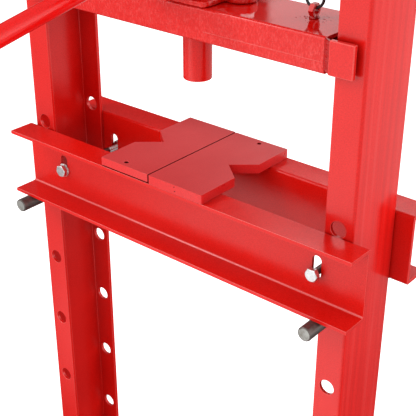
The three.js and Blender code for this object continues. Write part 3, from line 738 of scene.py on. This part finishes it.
def feet():
    for name, side, node, low, high in pair("foot"):
        inner, tip = directed(side, low.x, high.x)
        web = inner + side * SHEET
        section = rounded([
            (inner, low.z, BEND), (tip, low.z), (tip, low.z + SHEET), (web, low.z + SHEET, INNER_BEND),
            (web, high.z), (inner, high.z),
        ])
        through = (low.z - 1, low.z + SHEET + 1)
        tools = []
        for end, sign in ENDS:
            corner = [(tip + side, sign * (high.y + 1)), (tip - side * 16, sign * (high.y + 1)),
                      (tip + side, sign * (high.y - 16))]
            tools += [
                bolt_hole(f"foot_bolt_{name}_{end}", "x", inner - side * 5, inner + side * 15),
                prism(corner, "z", *through),
                rod(6.5, "z", *through, (tip - side * 22, sign * (high.y - 34)), 28),
            ]
        painted(sheet(cut(prism(section, "y", low.y, high.y), *tools)), node, "angle", "frame")
        for end, _ in ENDS:
            through_bolt(f"foot_bolt_{name}_{end}", "x", 6, inner + side * SHEET, inner - side * SHEET)


def lower_brace():
    low, high = span("lower_brace")
    brace = sheet(prism(channel(low.y, high.y, low.z, high.z), "x", low.x, high.x))
    beads = []
    for _, _, _, start, stop in pair("upright"):
        for z, lift in ((low.z + 2, -1.5), (high.z - 2, 1.5)):
            beads.append(weld([(x, low.y + 0.6, z + lift) for x in (start.x + 6, stop.x - 6)], 2.2))
    painted(flat_normals(join(brace, *beads)), "lower_brace", "channel", "frame")


def crosshead():
    bolts = []
    for name, _ in SIDES:
        bolts += [(f"head_bolt_{name}_lower", 6), (f"head_bolt_{name}_upper", 6), (f"block_bolt_{name}", 6),
                  (f"spring_bolt_{name}", 5)]
    webs = []
    for _, side, node, low, high in pair("crosshead", ENDS):
        back, tip = directed(side, low.y, high.y)
        obj = prism(channel(back, tip, low.z, high.z), "x", low.x, high.x)
        tools = [bolt_hole(bolt, "y", back - side * 6, back + side * 20, radius + 0.3) for bolt, radius in bolts]
        painted(sheet(cut(obj, *tools)), node, "channel", "frame")
        webs.append(back + side * SHEET)
    for bolt, radius in bolts:
        through_bolt(bolt, "y", radius, *webs)
    low, high = span("head_block")
    holes = [bolt_hole(f"block_bolt_{name}", "y", low.y - 5, high.y + 5) for name, _ in SIDES]
    painted(sheet(cut(box(low, high), *holes), 1.2, 3), "head_block", "bar", "frame")
    z0, z1, r = ends_of("head_socket", "z")
    ring = turned([
        (r - 4.5, z0 + 1), (r - 3.5, z0), (r - 1, z0), (r, z0 + 1), (r, z1), (r - 4.5, z1),
    ], "z", (0, 0), 64, True)
    painted(join(ring, ring_weld(r + 0.8, z1 - 0.8, 60, 2.0)), "head_socket", "ring", "frame")


def table():
    for _, side, node, low, high in pair("table", ENDS):
        back, tip = directed(side, low.y, high.y)
        tools = []
        for which, _ in SIDES:
            x, z = middle(f"tie_bolt_{which}").x, (low.z + high.z) / 2
            slot = rectangle(x - 7, z - 16.5, x + 7, z + 16.5, 6.99, 10)
            tools.append(prism(slot, "y", back - side * 5, back + side * 15))
        obj = sheet(cut(prism(channel(back, tip, low.z, high.z, 3.2), "x", low.x, high.x), *tools))

        # The inner lower bend takes a pale paint: a painted highlight.
        def in_bend(at, out):
            inside = abs(at.y - back) > SHEET + 0.2 and low.z + SHEET < at.z < low.z + SHEET + 3
            return inside and 0.2 < out.z < 0.95 and abs(out.x) < 0.1

        # The tops of the flanges' edges take a paler paint: a painted highlight.
        def on_edge(at, out):
            return abs(at.y - tip) < 0.8 and out.z > 0.2 and abs(out.x) < 0.1

        pick_faces(obj, EXTRA, in_bend)
        pick_faces(obj, LAST, on_edge)
        painted(obj, node, "channel", "table", PAINT_TABLE, (PAINT_BEND_HIGHLIGHT, PAINT_TIP_HIGHLIGHT))
    thread_start = span("table_rear")[0].y + SHEET - 20
    for name, side, node, low, high in pair("tie_bolt"):
        centre = flat(middle(node), "y")
        head_face = low.y + 7
        zinced(join(
            hexagon(17, "y", centre, head_face, low.y, phase=0.25 if side < 0 else 0.05),
            with_finish(smooth(rod(5, "y", head_face - 1, thread_start, centre)), EDGE),
            thread(5, 1.5, "y", centre, thread_start, high.y),
        ), node, "shank", "table", PIN_STEEL)
        node = f"tie_nut_{name}"
        low, high = span(node)
        zinced(hexagon(17, "y", centre, low.y, high.y, True, 0.2), node, "hex", "table")
        node = f"tie_washer_{name}"
        if node in frame["nodes"]:
            low, high = span(node)
            zinced(washer(high.x - centre[0], 5.3, "y", centre, low.y, high.y), node, "disc", "table")


# Two small pits in the right plate's front edge: (x, height above the plate's underside).
PLATE_PITS = ((39, 4.5), (38, 10.5))


def arbor_plates():
    for _, side, node, low, high in pair("arbor_plate"):
        inner, outer = directed(side, low.x, high.x)
        back_set = 0.9 if side < 0 else 0
        front, back = low.y + back_set, high.y + back_set
        shape = rounded([
            (inner, front, 1.2), (outer, front, 1.3), (outer, -27), (outer - side * 32, 0), (outer, 27),
            (outer, back, 1.3), (inner, back, 1.2),
        ], 4)
        hole = (inner + side * 50.15, side * 84.3)
        drill = lathe([
            (0, low.z - 1), (3.2, low.z - 1), (3.2, high.z - 0.7), (4.2, high.z + 0.3), (0, high.z + 0.3),
        ], "z", hole, 28)
        # The lower front edge is ground off, so a dark gap shows between it and the table, darkened further by
        # painted shade on its underside faces.
        ground = 2.6 if side < 0 else 0.8
        wedge = prism([
            (front - 0.5, low.z - 0.5), (front + ground + 0.4, low.z - 0.5), (front - 0.5, low.z + ground),
        ], "x", low.x - 1, high.x + 1)
        obj = cut(prism(shape, "z", low.z, high.z), drill, wedge)
        if side > 0:
            obj = cut(obj, *[rod(0.9, "y", front - 1, front + 1.5, (x, low.z + z), 12) for x, z in PLATE_PITS])
        obj = sheet(obj, 0.45)

        # Hole walls, the seam between the plates, the pits and the undersides take a near-black paint: painted
        # shade.
        def stain_and_shade(at, out):
            in_hole = hypot(at.x - hole[0], at.y - hole[1]) < 3.6 and abs(out.z) < 0.5
            in_seam = abs(at.x - inner) < 0.6 and abs(out.x) > 0.2
            in_pit = abs(at.x - 38.5) < 2 and front + 0.3 < at.y < front + 1.7 and low.z + 2 < at.z < high.z - 1
            return in_hole or in_seam or in_pit or (at.z < low.z + 1.5 and out.z < -0.3)

        pick_faces(obj, LAST, lambda at, out: abs(out.z) < 0.3)
        pick_faces(obj, EXTRA, stain_and_shade)
        painted(obj, node, "slab", node, PAINT_PLATE, (PAINT_SHADE, PAINT_PLATE_SIDE))


def table_pins():
    for node in ("table_pin_left", "table_pin_right"):
        centre = flat(middle(node), "y")
        y0, y1, r = ends_of(node, "y")
        discs = []
        for y, away in ((y0, -1), (y1, 1)):
            inside = y - away * 0.6
            face = turned([(0, inside), (r - 1.6, inside), (r - 1.7, y), (0, y + away * 0.03)], "y", centre, 56)
            discs.append(with_finish(face, EDGE))
        body = turned([
            (0, y0 + 0.3), (r - 1.6, y0 + 0.02), (r - 1.4, y0), (r - 0.4, y0 + 0.7), (r, y0 + 1.8),
            (r, y1 - 1.8), (r - 0.4, y1 - 0.7), (r - 1.4, y1), (r - 1.6, y1 - 0.02),
            (0, y1 - 0.3),
        ], "y", centre, 56, degrees=50)
        unpainted(join(body, *discs), node, "rod", node, "bare_steel", PIN_STEEL, PIN_END)


def fillet(start, stop, low, high, sign):
    """An upright rippled bead that fills the step from start to stop, both (x, y)."""
    first, last = Vector(start), Vector(stop)
    inward = Vector((0, -sign))
    steps = round((high - low) / 0.6)
    rings = []
    for k in range(steps + 1):
        z = low + (high - low) * k / steps
        ends = min(1.0, 0.25 + 0.3 * k, 0.25 + 0.3 * (steps - k))
        ripple = abs(sin(pi * z / 2.9 + 0.8 * lump(z * 0.4, sign, 0)))
        ring = []
        for i in range(9):
            t = i / 8
            lumps = lump(t * 3, z * 0.35, sign * 5)
            bulge = sin(pi * t) * (0.2 + 1.3 * ripple + 1.2 * lumps)
            point = first.lerp(last, t) - inward * bulge + inward * 2.5 * (1 - ends)
            ring.append((point.x, point.y, z))
        ring += [(last.x, last.y - sign * 3.4, z), (first.x, first.y - sign * 3.4, z)]
        rings.append(ring)
    return smooth(skin(rings), 60)


def crossbar():
    """Returns the levels of the tube's underside and top, and its middle's distance back."""
    low, high = span("crossbar")
    bottom, top = span("guide_left_front")[0].z - 4.8, span("jack_base")[0].z
    half, depth = 232.5, 51.5
    y = (low.y + high.y) / 2
    front = y - depth
    outer = prism(rectangle(front, bottom, y + depth, top, 4, 6), "x", -half, half)
    hollow = rectangle(front + SHEET, bottom + SHEET, y + depth - SHEET, top - SHEET, 2, 4)
    bar = sheet(cut(outer, prism(hollow, "x", -half - 1, half + 1)), 0.6)
    pick_faces(bar, EXTRA, lambda at, out: out.z < 0.97)
    extras = []
    guides = [(f"guide_{name}_{end}", side, sign) for name, side in SIDES for end, sign in ENDS]
    for node, side, sign in guides:
        low, high = span(node)
        face = directed(sign, low.y, high.y)[1]
        edge = directed(side, low.x, high.x)[0]
        start = (side * (half - 1.6), y + sign * (depth - 0.3))
        stop = (edge + side * 0.4, face - sign * 0.7)
        extras.append(with_finish(fillet(start, stop, bottom + 5.5, top - 0.5, sign), WELD))
    # A seam left by the mill runs along the front, and fine spatter lies above it.
    seam = [(x, front + 0.2, bottom + 14.4 + 0.25 * lump(x * 0.05, 0, 0)) for x in range(52, 231, 2)]
    # The seam takes the lighter edge paint: a painted highlight along it.
    extras.append(with_finish(smooth(sweep(seam, 0.6, 8), 80), EDGE))
    rng = random.Random(5)
    specks = []
    for k in range(150):
        x = rng.uniform(60, 229) if k < 110 else rng.uniform(-60, 60)
        z = rng.uniform(bottom + 17, top - 5)
        specks.append(((x, front, z), (0, -1, 0), rng.uniform(0.22, 0.5)))
    extras.append(droplets(specks))
    painted(flat_normals(join(bar, *extras)), "crossbar", "tube", "crossbar", PAINT_BAR, (PAINT_BAR_FACE,))
    for node, _, _ in guides:
        painted(sheet(box(*span(node)), 1.3, 3), node, "plate", "crossbar")
    return bottom, top, y


def nose(bottom):
    z0, z1, r = ends_of("ram_nose", "z")
    centre = flat(middle("ram_nose"), "z")
    body = turned([
        (0, z0), (r - 1.3, z0), (r - 0.7, z0 + 0.18), (r - 0.15, z0 + 0.75), (r, z0 + 1.5), (r, z1), (0, z1),
    ], "z", centre, 96)
    bead = ring_weld(r + 0.6, bottom - 0.6, 90, 1.9, 2.8, 0.1, centre=centre)
    painted(join(body, bead), "ram_nose", "round", "crossbar")


def spring_lugs(top):
    for name, side in SIDES:
        node = f"spring_lug_{name}"
        x, y, _ = middle(node)
        centre = (y, top + 10)
        nut = hexagon(16, "x", centre, x - 3.6, x + 3.6, True)
        parts = [smooth(cut(nut, rod(4.5, "x", x - 8, x + 8, centre, 32)), 28)]
        for sign in (-1, 1):
            path = [(x - 4, y + sign * 3.9, top + 0.9), (x, y + sign * 4.6, top + 1.4),
                    (x + 4.5, y + sign * 3.8, top + 0.8)]
            parts.append(weld(path, 2.2, 2.4, 0.3))
        for first, last in ((4.2, 4.5), (-4.2, -4.6)):
            parts.append(weld([(x + first, y - 3, top + 0.8), (x + last, y + 3, top + 0.8)], 1.7, 2.4, 0.3))
        rng = random.Random(21 + side)
        spots = []
        for _ in range(34):
            angle = rng.uniform(0, 2 * pi)
            far = 8.5 + 15 * rng.random() ** 1.6
            place = (x + far * cos(angle), y + far * sin(angle) * 0.9, top)
            spots.append((place, (0, 0, 1), rng.uniform(0.3, 1.0)))
        parts.append(with_finish(droplets(spots), WELD))
        painted(join(*parts), node, "nut", "crossbar")


def bridge(before, first, last, after):
    """A smooth curve's points: it leaves `first` coming from `before` and joins `last` towards `after`."""
    reach = (last - first).length * 0.55
    out = first + (first - before).normalized() * reach
    back = last - (after - last).normalized() * reach
    points = []
    for k in range(1, 10):
        t = k / 10
        s = 1 - t
        points.append(first * s ** 3 + out * 3 * t * s ** 2 + back * 3 * t * t * s + last * t ** 3)
    return points


def springs(top):
    wire = 1.85
    r = 12.6
    gap = 0.05
    per_turn = 18
    for name, _ in SIDES:
        x, y, _ = middle(f"spring_lug_{name}")
        bolt = middle(f"spring_bolt_{name}")
        low_centre = top + 14.5 - wire - gap + r
        high_centre = bolt.z + 5 + wire + gap - r
        coil_low = low_centre + r + 2
        coil_high = high_centre - r - 2

        def hook(level, start):
            angles = [radians(start - 290 * k / 36) for k in range(37)]
            return [Vector((x + r * cos(a), y, level + r * sin(a))) for a in angles]

        turns = round((coil_high - coil_low) / (2 * wire + 0.25))
        helix = []
        for k in range(turns * per_turn + 1):
            a = 2 * pi * k / per_turn + pi
            z = coil_low + (coil_high - coil_low) * k / (turns * per_turn)
            helix.append(Vector((x + r * cos(a), y + r * sin(a), z)))
        lower, upper = hook(low_centre, 55), hook(high_centre, 235)
        path = lower + bridge(*lower[-2:], *helix[:2]) + helix + bridge(*helix[-2:], *upper[:2]) + upper
        obj = smooth(sweep(path, wire, 9), 80)
        obj = unpainted(obj, f"return_spring_{name}", "coil", None, "black_wire", WIRE)
        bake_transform(obj)


# ---------------------------------------------------------------- bottle jack

def jack(top, axis_y):
    axis = (0, axis_y)

    def level(z):
        return top + z

    def outline(half_x, half_y, radius):
        return rectangle(-half_x, axis_y - half_y, half_x, axis_y + half_y, radius, 8)

    # The base: a flange with two ears, shoulders, a boss under the pump and one round the release valve.
    pump = (0, axis_y - 63.5)
    valve_hole = (-34, level(15))
    ears = [(side * 67, axis_y + 6.7) for side in (-1, 1)]
    flange = prism(outline(57, 53.5, 9), "z", level(0.4), level(8))
    flange = fuse(flange, *[rod(20.6, "z", level(0.4), level(12), ear, 64) for ear in ears])
    shoulders = skin([
        [(u, v, level(z)) for u, v in outline(half, half, radius)]
        for z, half, radius in ((4, 51, 18), (8, 49, 19), (22, 43, 24), (26, 41, 26))
    ])
    boss = box((-14, axis_y - 76.5, level(14)), (14, axis_y - 36.6, level(41)))
    foot = [(-14, axis_y - 76), (14, axis_y - 76), (17, axis_y - 50), (-17, axis_y - 50)]
    foot = prism(foot, "z", level(6), level(20))
    valve_boss = rod(10.5, "y", axis_y - 56.5, axis_y - 40, valve_hole, 40)
    base = cut(
        fuse(flange, shoulders, boss, foot, valve_boss),
        rod(5.5, "y", axis_y - 70, axis_y - 48, valve_hole),
        rod(6.8, "z", level(18), level(70), pump),
        *[rod(6.3, "z", level(-1), level(20), (x, axis_y + 6.7)) for x in (-75, 75)],
    )
    painted(cast(base, 1.15, 0.35), "jack_base", "casting", "crossbar", PAINT_CAST)
    for _, side, node, low, high in pair("jack_bolt"):
        centre = flat(middle(node), "z")
        zinced(join(
            hexagon(18, "z", centre, level(12 + WASHER), high.z, phase=0.4 * side),
            washer(11.5, 6, "z", centre, level(12), level(13.6)),
            smooth(rod(6, "z", low.z, level(13), centre)),
        ), node, "screw", "crossbar")

    z0, z1, r = ends_of("jack_reservoir", "z")
    tank = turned([
        (r - 3, z0), (r - 0.2, z0), (r, z0 + 1.2), (r - 0.6, z0 + 3), (r - 0.6, z0 + 4.5),
        (r, z0 + 6.5), (r, z1 - 9), (r - 0.7, z1 - 7.2), (r - 0.7, z1 - 5.8), (r, z1 - 4),
        (r, z1 - 0.8), (r - 0.6, z1), (r - 3, z1),
    ], "z", axis, 96, True)
    plug = flat(middle("jack_filler_plug"), "x")
    tank = smooth(cut(tank, rod(4.3, "x", 20, 50, (axis_y, plug[1]), 28)))
    tank = join(tank, ring_weld(r + 0.2, z0 + 0.9, 100, 1.7, 2.6, 0.08, centre=axis))
    painted(tank, "jack_reservoir", "tank", "crossbar")

    z0, z1, r = ends_of("jack_pressure_cylinder", "z")
    tube = turned([
        (r - 5.5, z0), (r, z0), (r, z1 - 0.6), (r - 0.6, z1), (r - 4.9, z1), (r - 5.5, z1 - 0.6),
    ], "z", axis, 64, True)
    finish_piece(tube, "jack_pressure_tube", "crossbar", "ground_steel", [GROUND], "jack_pressure_cylinder")

    z0, z1, _ = ends_of("jack_top_nut", "z")
    collar = turned([
        (17.4, z0), (35.2, z0), (36, z0 + 0.8), (36, z0 + 4.2), (35.2, z0 + 5), (17.4, z0 + 5),
    ], "z", axis, 96, True)
    bore = lathe([
        (0, z0 + 4), (17.4, z0 + 4), (17.4, z1 - 1.2), (18.8, z1 + 0.2), (0, z1 + 0.2),
    ], "z", axis, 64)
    cap = smooth(cut(hexagon(68, "z", axis, z0 + 5, z1, False, 0.2), bore), 28)
    wiper = turned([
        (16.4, z1 - 3), (17.3, z1 - 3), (17.3, z1 - 0.4), (16.9, z1 + 0.3), (16.4, z1 - 0.3),
    ], "z", axis, 64, True)
    nut = join(collar, cap, with_finish(wiper, EXTRA))
    painted(nut, "jack_top_nut", "hex", "crossbar", extra=(RUBBER,))

    x0, x1, _ = ends_of("jack_filler_plug", "x")
    wall = 36 + 0.3
    stub = turned([
        (0, x0), (3.4, x0), (4, x0 + 0.8), (4, wall), (5.6, wall), (6, wall + 0.8), (5.6, x1 - 1.2),
        (4.2, x1 - 0.2), (1.2, x1), (1, x1 - 0.8), (0, x1 - 0.9),
    ], "x", plug, 40)
    unpainted(stub, "jack_filler_plug", "rubber", "crossbar", "black_rubber", RUBBER)

    z0, z1, r = ends_of("jack_ram", "z")
    ram = turned([
        (0, z0), (r - 0.8, z0), (r, z0 + 0.8), (r, z1 - 5), (r - 0.5, z1 - 4.6),
        (r - 0.5, z1 - 3.4), (r, z1 - 3), (r, z1 - 1), (r - 1, z1), (11.9, z1),
        (11.5, z1 - 0.5), (11.5, level(62)), (0, level(62)),
    ], "z", axis, 96, degrees=28)
    unpainted(ram, "jack_ram", "rod", "jack_ram", "ground_steel", GROUND)

    z0, z1, r = ends_of("jack_extension_screw", "z")
    shank = smooth(rod(10.2, "z", z0 + 2, level(188.6), axis))
    screw = thread(11, 3.2, "z", axis, level(187.6), level(208.2), 40)
    saddle = lathe([
        (0, level(207.6)), (11.5, level(207.6)), (r - 2, level(209.2)), (r, level(211)), (r, z1 - 1.2),
        (r - 1.2, z1), (4, z1), (3, z1 - 1.6), (0, z1 - 1.6),
    ], "z", axis, 72)
    for k in range(6):
        groove = prism([(-1.3, z1 + 1), (0, z1 - 1.5), (1.3, z1 + 1)], "x", -r - 2, r + 2)
        turn = Matrix.Translation((*axis, 0)) @ Matrix.Rotation(pi * k / 6, 4, "Z")
        boolean(saddle, "DIFFERENCE", moved(groove, turn))
    screw = join(shank, screw, smooth(saddle, 28))
    unpainted(screw, "jack_extension_screw", "thread", "extension_screw", "ground_steel", GROUND)

    z0, z1, r = ends_of("pump_cylinder", "z")
    barrel = turned([
        (6.5, z0), (r, z0), (r, z0 + 2), (r - 0.8, z0 + 2.8), (r - 0.8, z0 + 4), (r, z0 + 4.8),
        (r, z1 - 2.5), (r - 1.2, z1 - 1), (r - 1.2, z1), (6.5, z1),
    ], "z", pump, 56, True, 28)
    zinced(barrel, "pump_cylinder", "barrel", "crossbar")

    low, high = span("pump_plunger")
    head = soften(box((-6.5, pump[1] - 6.5, level(62)), (6.5, pump[1] + 6.5, high.z)), 1.4, 3)
    stem = smooth(rod(6, "z", low.z, level(63), pump))
    pin = turned([
        (0, low.x), (2.1, low.x), (2.5, low.x + 0.5), (2.5, high.x - 0.5), (2.1, high.x), (0, high.x),
    ], "x", (pump[1], level(69.9)), 24)
    unpainted(join(head, stem, pin), "pump_plunger", "rod", "pump_plunger", "ground_steel", GROUND)

    x0, x1, _ = ends_of("pump_link", "x")
    foot_at = Vector((axis_y - 49.5, level(34.2)))
    fulcrum_at = Vector((axis_y - 44.5, level(73.5)))
    along = (fulcrum_at - foot_at).normalized()
    across = Vector((along.y, -along.x)) * 7.5
    ends = [foot_at - along * 7.5 - across, foot_at - along * 7.5 + across,
            fulcrum_at + along * 7.5 + across, fulcrum_at + along * 7.5 - across]
    strap = rounded([(p.x, p.y, 6.5) for p in ends], 8)
    parts = [sheet(prism(strap, "x", side * 14.5, side * 17.5), 0.5) for side in (-1, 1)]
    for spot in (tuple(foot_at), tuple(fulcrum_at)):
        fittings = [turned([
            (0, x0), (3.2, x0), (4, x0 + 0.8), (4, x1 - 0.8), (3.2, x1), (0, x1),
        ], "x", spot, 28)]
        fittings += [washer(6.2, 3.8, "x", spot, side * 17.6, side * 18.5) for side in (-1, 1)]
        parts += [with_finish(fitting, EXTRA) for fitting in fittings]
    painted(join(*parts), "pump_link", "straps", "crossbar", extra=(ZINC,))

    face, end, r = ends_of("release_valve", "y")
    centre = flat(middle("release_valve"), "y")
    knob = lathe([
        (0, face), (r - 1, face), (r, face + 1), (r, face + 10), (r - 1.6, face + 11), (r - 1.6, face + 13.5),
        (r, face + 14.5), (r, face + 17.6), (r - 1.5, face + 18), (5, face + 18.2), (5, end), (0, end),
    ], "y", centre, 48)
    x, z = centre
    slot = box((x - 1.4, face - 1, z - 20), (x + 1.4, face + 8, z + 20))
    knob = smooth(boolean(knob, "DIFFERENCE", slot), 28)
    flutes = [rod(0.8, "y", face - 1, face + 11, (x + (r + 0.45) * cos(a), z + (r + 0.45) * sin(a)), 10)
              for a in [2 * pi * (k + 0.5) / 18 for k in range(18)]]
    zinced(smooth(cut(knob, *flutes), 28), "release_valve", "knob", "release_valve")


def lever():
    joint = next(j for j in frame["joints"] if j["name"] == "pump_lever_swing")
    pivot = Vector(joint["pos_m"]) / MM
    turn = Matrix.Translation(pivot) @ Matrix.Rotation(radians(11.2), 4, "X")
    socket = lathe([
        (0, -36), (14, -36), (15, -37), (15, -98.5), (14.3, -99.6), (12.6, -100), (11.9, -99.4), (11.9, -42),
        (0, -42),
    ], "y", (0, 0), 64)
    socket = smooth(cut(socket, rod(3, "z", 10, 20, (0, -58), 24)), 28)
    cheeks, beads = [], []
    for side in (-1, 1):
        shape = rounded([(7.3, -7.3, 6), (7.3, 7.3, 6), (-38, 7.8), (-38, -7.8)], 8)
        cheeks.append(sheet(cut(
            prism(shape, "x", side * 8, side * 12),
            rod(4.3, "x", -20, 20, (0, 0), 28),
            prism(rectangle(-26, -4.2, -16.5, 4.2, 3.9, 8), "x", -20, 20),
        ), 0.5))
        for z in (-7.9, 7.9):
            beads.append(weld([(side * 7.5, -35.6, z), (side * 12.2, -35.6, z * 0.9)], 1.6))
    screw = turned([
        (0, 13), (2.9, 13), (2.9, 15.4), (2.5, 15.9), (1.4, 15.9), (1.4, 14.4), (0, 14.4),
    ], "z", (0, -58), 24)
    obj = moved(join(socket, *cheeks, *beads, with_finish(screw, EXTRA)), turn)
    painted(obj, "handle_socket", "fork", "pump_lever", extra=(ZINC,))

    end, start, r = -520, -42.3, 11.5
    tube = turned([
        (r - 2, end), (r - 0.4, end), (r, end + 0.4), (r, start), (r - 2, start),
    ], "y", (0, 0), 72, True)
    painted(moved(tube, turn), "pump_handle", "tube", "pump_handle", PAINT_HANDLE_LIT)

    end, r = -524, 14.5
    profile = [(0, end), (r - 3, end), (r - 0.8, end + 1.2), (r, end + 4)]
    for y in range(end + 8, end + 92, 7):
        profile += [(r, y), (r - 1.1, y + 1), (r - 1.1, y + 2.6), (r, y + 3.6)]
    profile += [(r, end + 98), (r - 1.2, end + 106), (r - 1.8, end + 109), (r - 2.6, end + 110),
                (11.85, end + 110), (11.85, -519.8), (0, -519.8)]
    grip = moved(turned(profile, "y", (0, 0), 72, degrees=50), turn)
    unpainted(grip, "handle_grip", "ribbed", "pump_handle", "black_rubber", RUBBER)


uprights()
feet()
lower_brace()
crosshead()
table()
arbor_plates()
table_pins()
BAR_BOTTOM, BAR_TOP, BAR_Y = crossbar()
nose(BAR_BOTTOM)
spring_lugs(BAR_TOP)
springs(BAR_TOP)
jack(BAR_TOP, BAR_Y)
lever()


# ---------------------------------------------------------------- camera, floor and light

def look_from(azimuth, elevation, roll, location, lens):
    az, el, ro = (radians(v) for v in (azimuth, elevation, roll))
    back = Vector((sin(az) * cos(el), -cos(az) * cos(el), sin(el)))
    right = Vector((cos(az), sin(az), 0))
    up = back.cross(right)
    right, up = right * cos(ro) + up * sin(ro), up * cos(ro) - right * sin(ro)
    camera = in_scene("camera", bpy.data.cameras.new("camera"))
    camera.matrix_world = Matrix.Translation(location) @ Matrix((right, up, back)).transposed().to_4x4()
    camera.data.sensor_width = 36
    camera.data.lens = lens
    camera.data.clip_end = 50
    scene.camera = camera


look_from(39.892, 27.738, 0.095, Vector((0.79467, -0.931098, 0.443654)), 82.65)
scene.view_settings.view_transform = "Standard"

# From here on lengths are in metres. The floor's painted glow by distance out, dim near the press as a painted
# shadow of it, and by distance across its front, a painted pool of light; the sky's level by height: of the
# walls, overhead, and of a low panel behind on the left.
FLOOR_HALF = 30
FLOOR_GAP = 0.0005
GLOW_REACH = 3.0
FLOOR_GLOW = ((0.0, 0.05), (0.6, 0.07), (0.95, 0.12), (1.46, 0.27), (1.9, 0.38), (2.4, 0.45))
FRONT_GLOW = ((0.0, 0.33), (0.38, 0.33), (0.62, 0.9), (1.5, 0.9), (2.3, 0.45))
SIDE_SKY = ((0.0, 1.0), (0.25, 0.9), (0.465, 0.6), (0.75, 0.25), (1.0, 0.0))
TOP_SKY = ((0.0, 0.0), (0.35, 0.03), (0.45, 0.19), (0.75, 0.4), (1.0, 0.5))
LOW_PANEL = ((0.0, 0.95), (0.33, 0.95), (0.4, 0.0))
WALLS = ((-0.5, -0.87, 0), (1.1, 0.33, 0))
PANEL_EDGE = (0.8049, 0.5934, 0)
PANEL_FACING = (-0.59, 0.81, 0)


def floor():
    """A white floor; what it throws back at the press is a painted glow: dim close by, a painted shadow of the
    press, and brighter far away and in a band in front, a painted pool of light.
    """
    mesh = bpy.data.meshes.new("floor")
    z = FLOOR * MM - FLOOR_GAP
    corners = [(u * FLOOR_HALF, v * FLOOR_HALF, z) for u, v in ((-1, -1), (1, -1), (1, 1), (-1, 1))]
    mesh.from_pydata(corners, [], [(0, 1, 2, 3)])
    obj = in_scene("floor", mesh)
    material, nodes, place = start_material("pale_floor")
    nodes.fill_named("Principled BSDF", {
        "Base Color": nodes.mix(nodes.noise(place, 1.5, 3), (0.8, 0.8, 0.8), (0.83, 0.83, 0.83)),
        "Roughness": 0.9, "Specular IOR Level": 0.1, "Emission Color": (1, 1, 1), "Emission Strength": 0.75,
    })
    near = 1 / GLOW_REACH
    away = nodes.add("VectorMath", {0: nodes.stretched(place, (near, near, 0))}, "Value", operation="LENGTH")
    behind = nodes.ramp(away, FLOOR_GLOW, GLOW_REACH)
    across = nodes.maths("MULTIPLY_ADD", nodes.dot(place, (1, -0.5, 0)), near, near)
    before = nodes.ramp(across, FRONT_GLOW, GLOW_REACH)
    back = nodes.add("SeparateXYZ", {"Vector": place}, "Y")
    glow = nodes.add("Mix", {0: nodes.spread(back, 1, 0, -0.6, -0.25), 2: behind, 3: before}, data_type="FLOAT")
    far_light = nodes.add("Emission", {"Color": glow, "Strength": 1.5}, "Emission")
    white = nodes.tree.nodes["Principled BSDF"].outputs["BSDF"]
    both = nodes.add("MixShader", {0: nodes.camera_ray(), 1: far_light, 2: white}, "Shader")
    nodes.fill_named("Material Output", {"Surface": both})
    mesh.materials.append(material)


def sky():
    """Pale walls front-left and right, grey overhead, dim behind on the left but for a low sharp panel."""
    world = bpy.data.worlds.new("studio")
    scene.world = world
    nodes = Nodes(world)
    direction = nodes.add("TexCoord", {}, "Generated")
    height = nodes.add("SeparateXYZ", {"Vector": direction}, "Z")
    wall = nodes.spread(nodes.maths("MAXIMUM", *(nodes.dot(direction, w) for w in WALLS)), 0.03, 2.2, 0, 1)
    level = nodes.maths("MULTIPLY_ADD", nodes.ramp(height, SIDE_SKY), wall, nodes.ramp(height, TOP_SKY))
    beyond = nodes.spread(nodes.dot(direction, PANEL_EDGE), 0, 1, 0, 0.006)
    behind = nodes.spread(nodes.dot(direction, PANEL_FACING), 0, 1, 0.82, 0.84)
    panel = nodes.maths("MULTIPLY", nodes.maths("MULTIPLY", beyond, nodes.ramp(height, LOW_PANEL)), behind)
    level = nodes.maths("MAXIMUM", nodes.maths("MAXIMUM", level, panel), nodes.camera_ray())
    nodes.fill_named("Background", {"Color": (1, 1, 1), "Strength": level})


def area(name, location, target, width, height, power):
    light = bpy.data.lights.new(name, "AREA")
    light.shape = "RECTANGLE"
    light.size = width
    light.size_y = height
    light.energy = power
    obj = in_scene(name, light)
    obj.location = location
    obj.rotation_euler = (Vector(target) - Vector(location)).to_track_quat("-Z", "Y").to_euler()
    obj.visible_camera = False


floor()
sky()
area("rear_panel", (-0.49, 1.68, 1.2), (0.73, 0.22, 0.12), 1.0, 0.7, 3.9)
area("softbox", (-1.42, -1.17, 1.6), (0, 0, -0.1), 0.5, 0.35, 11)
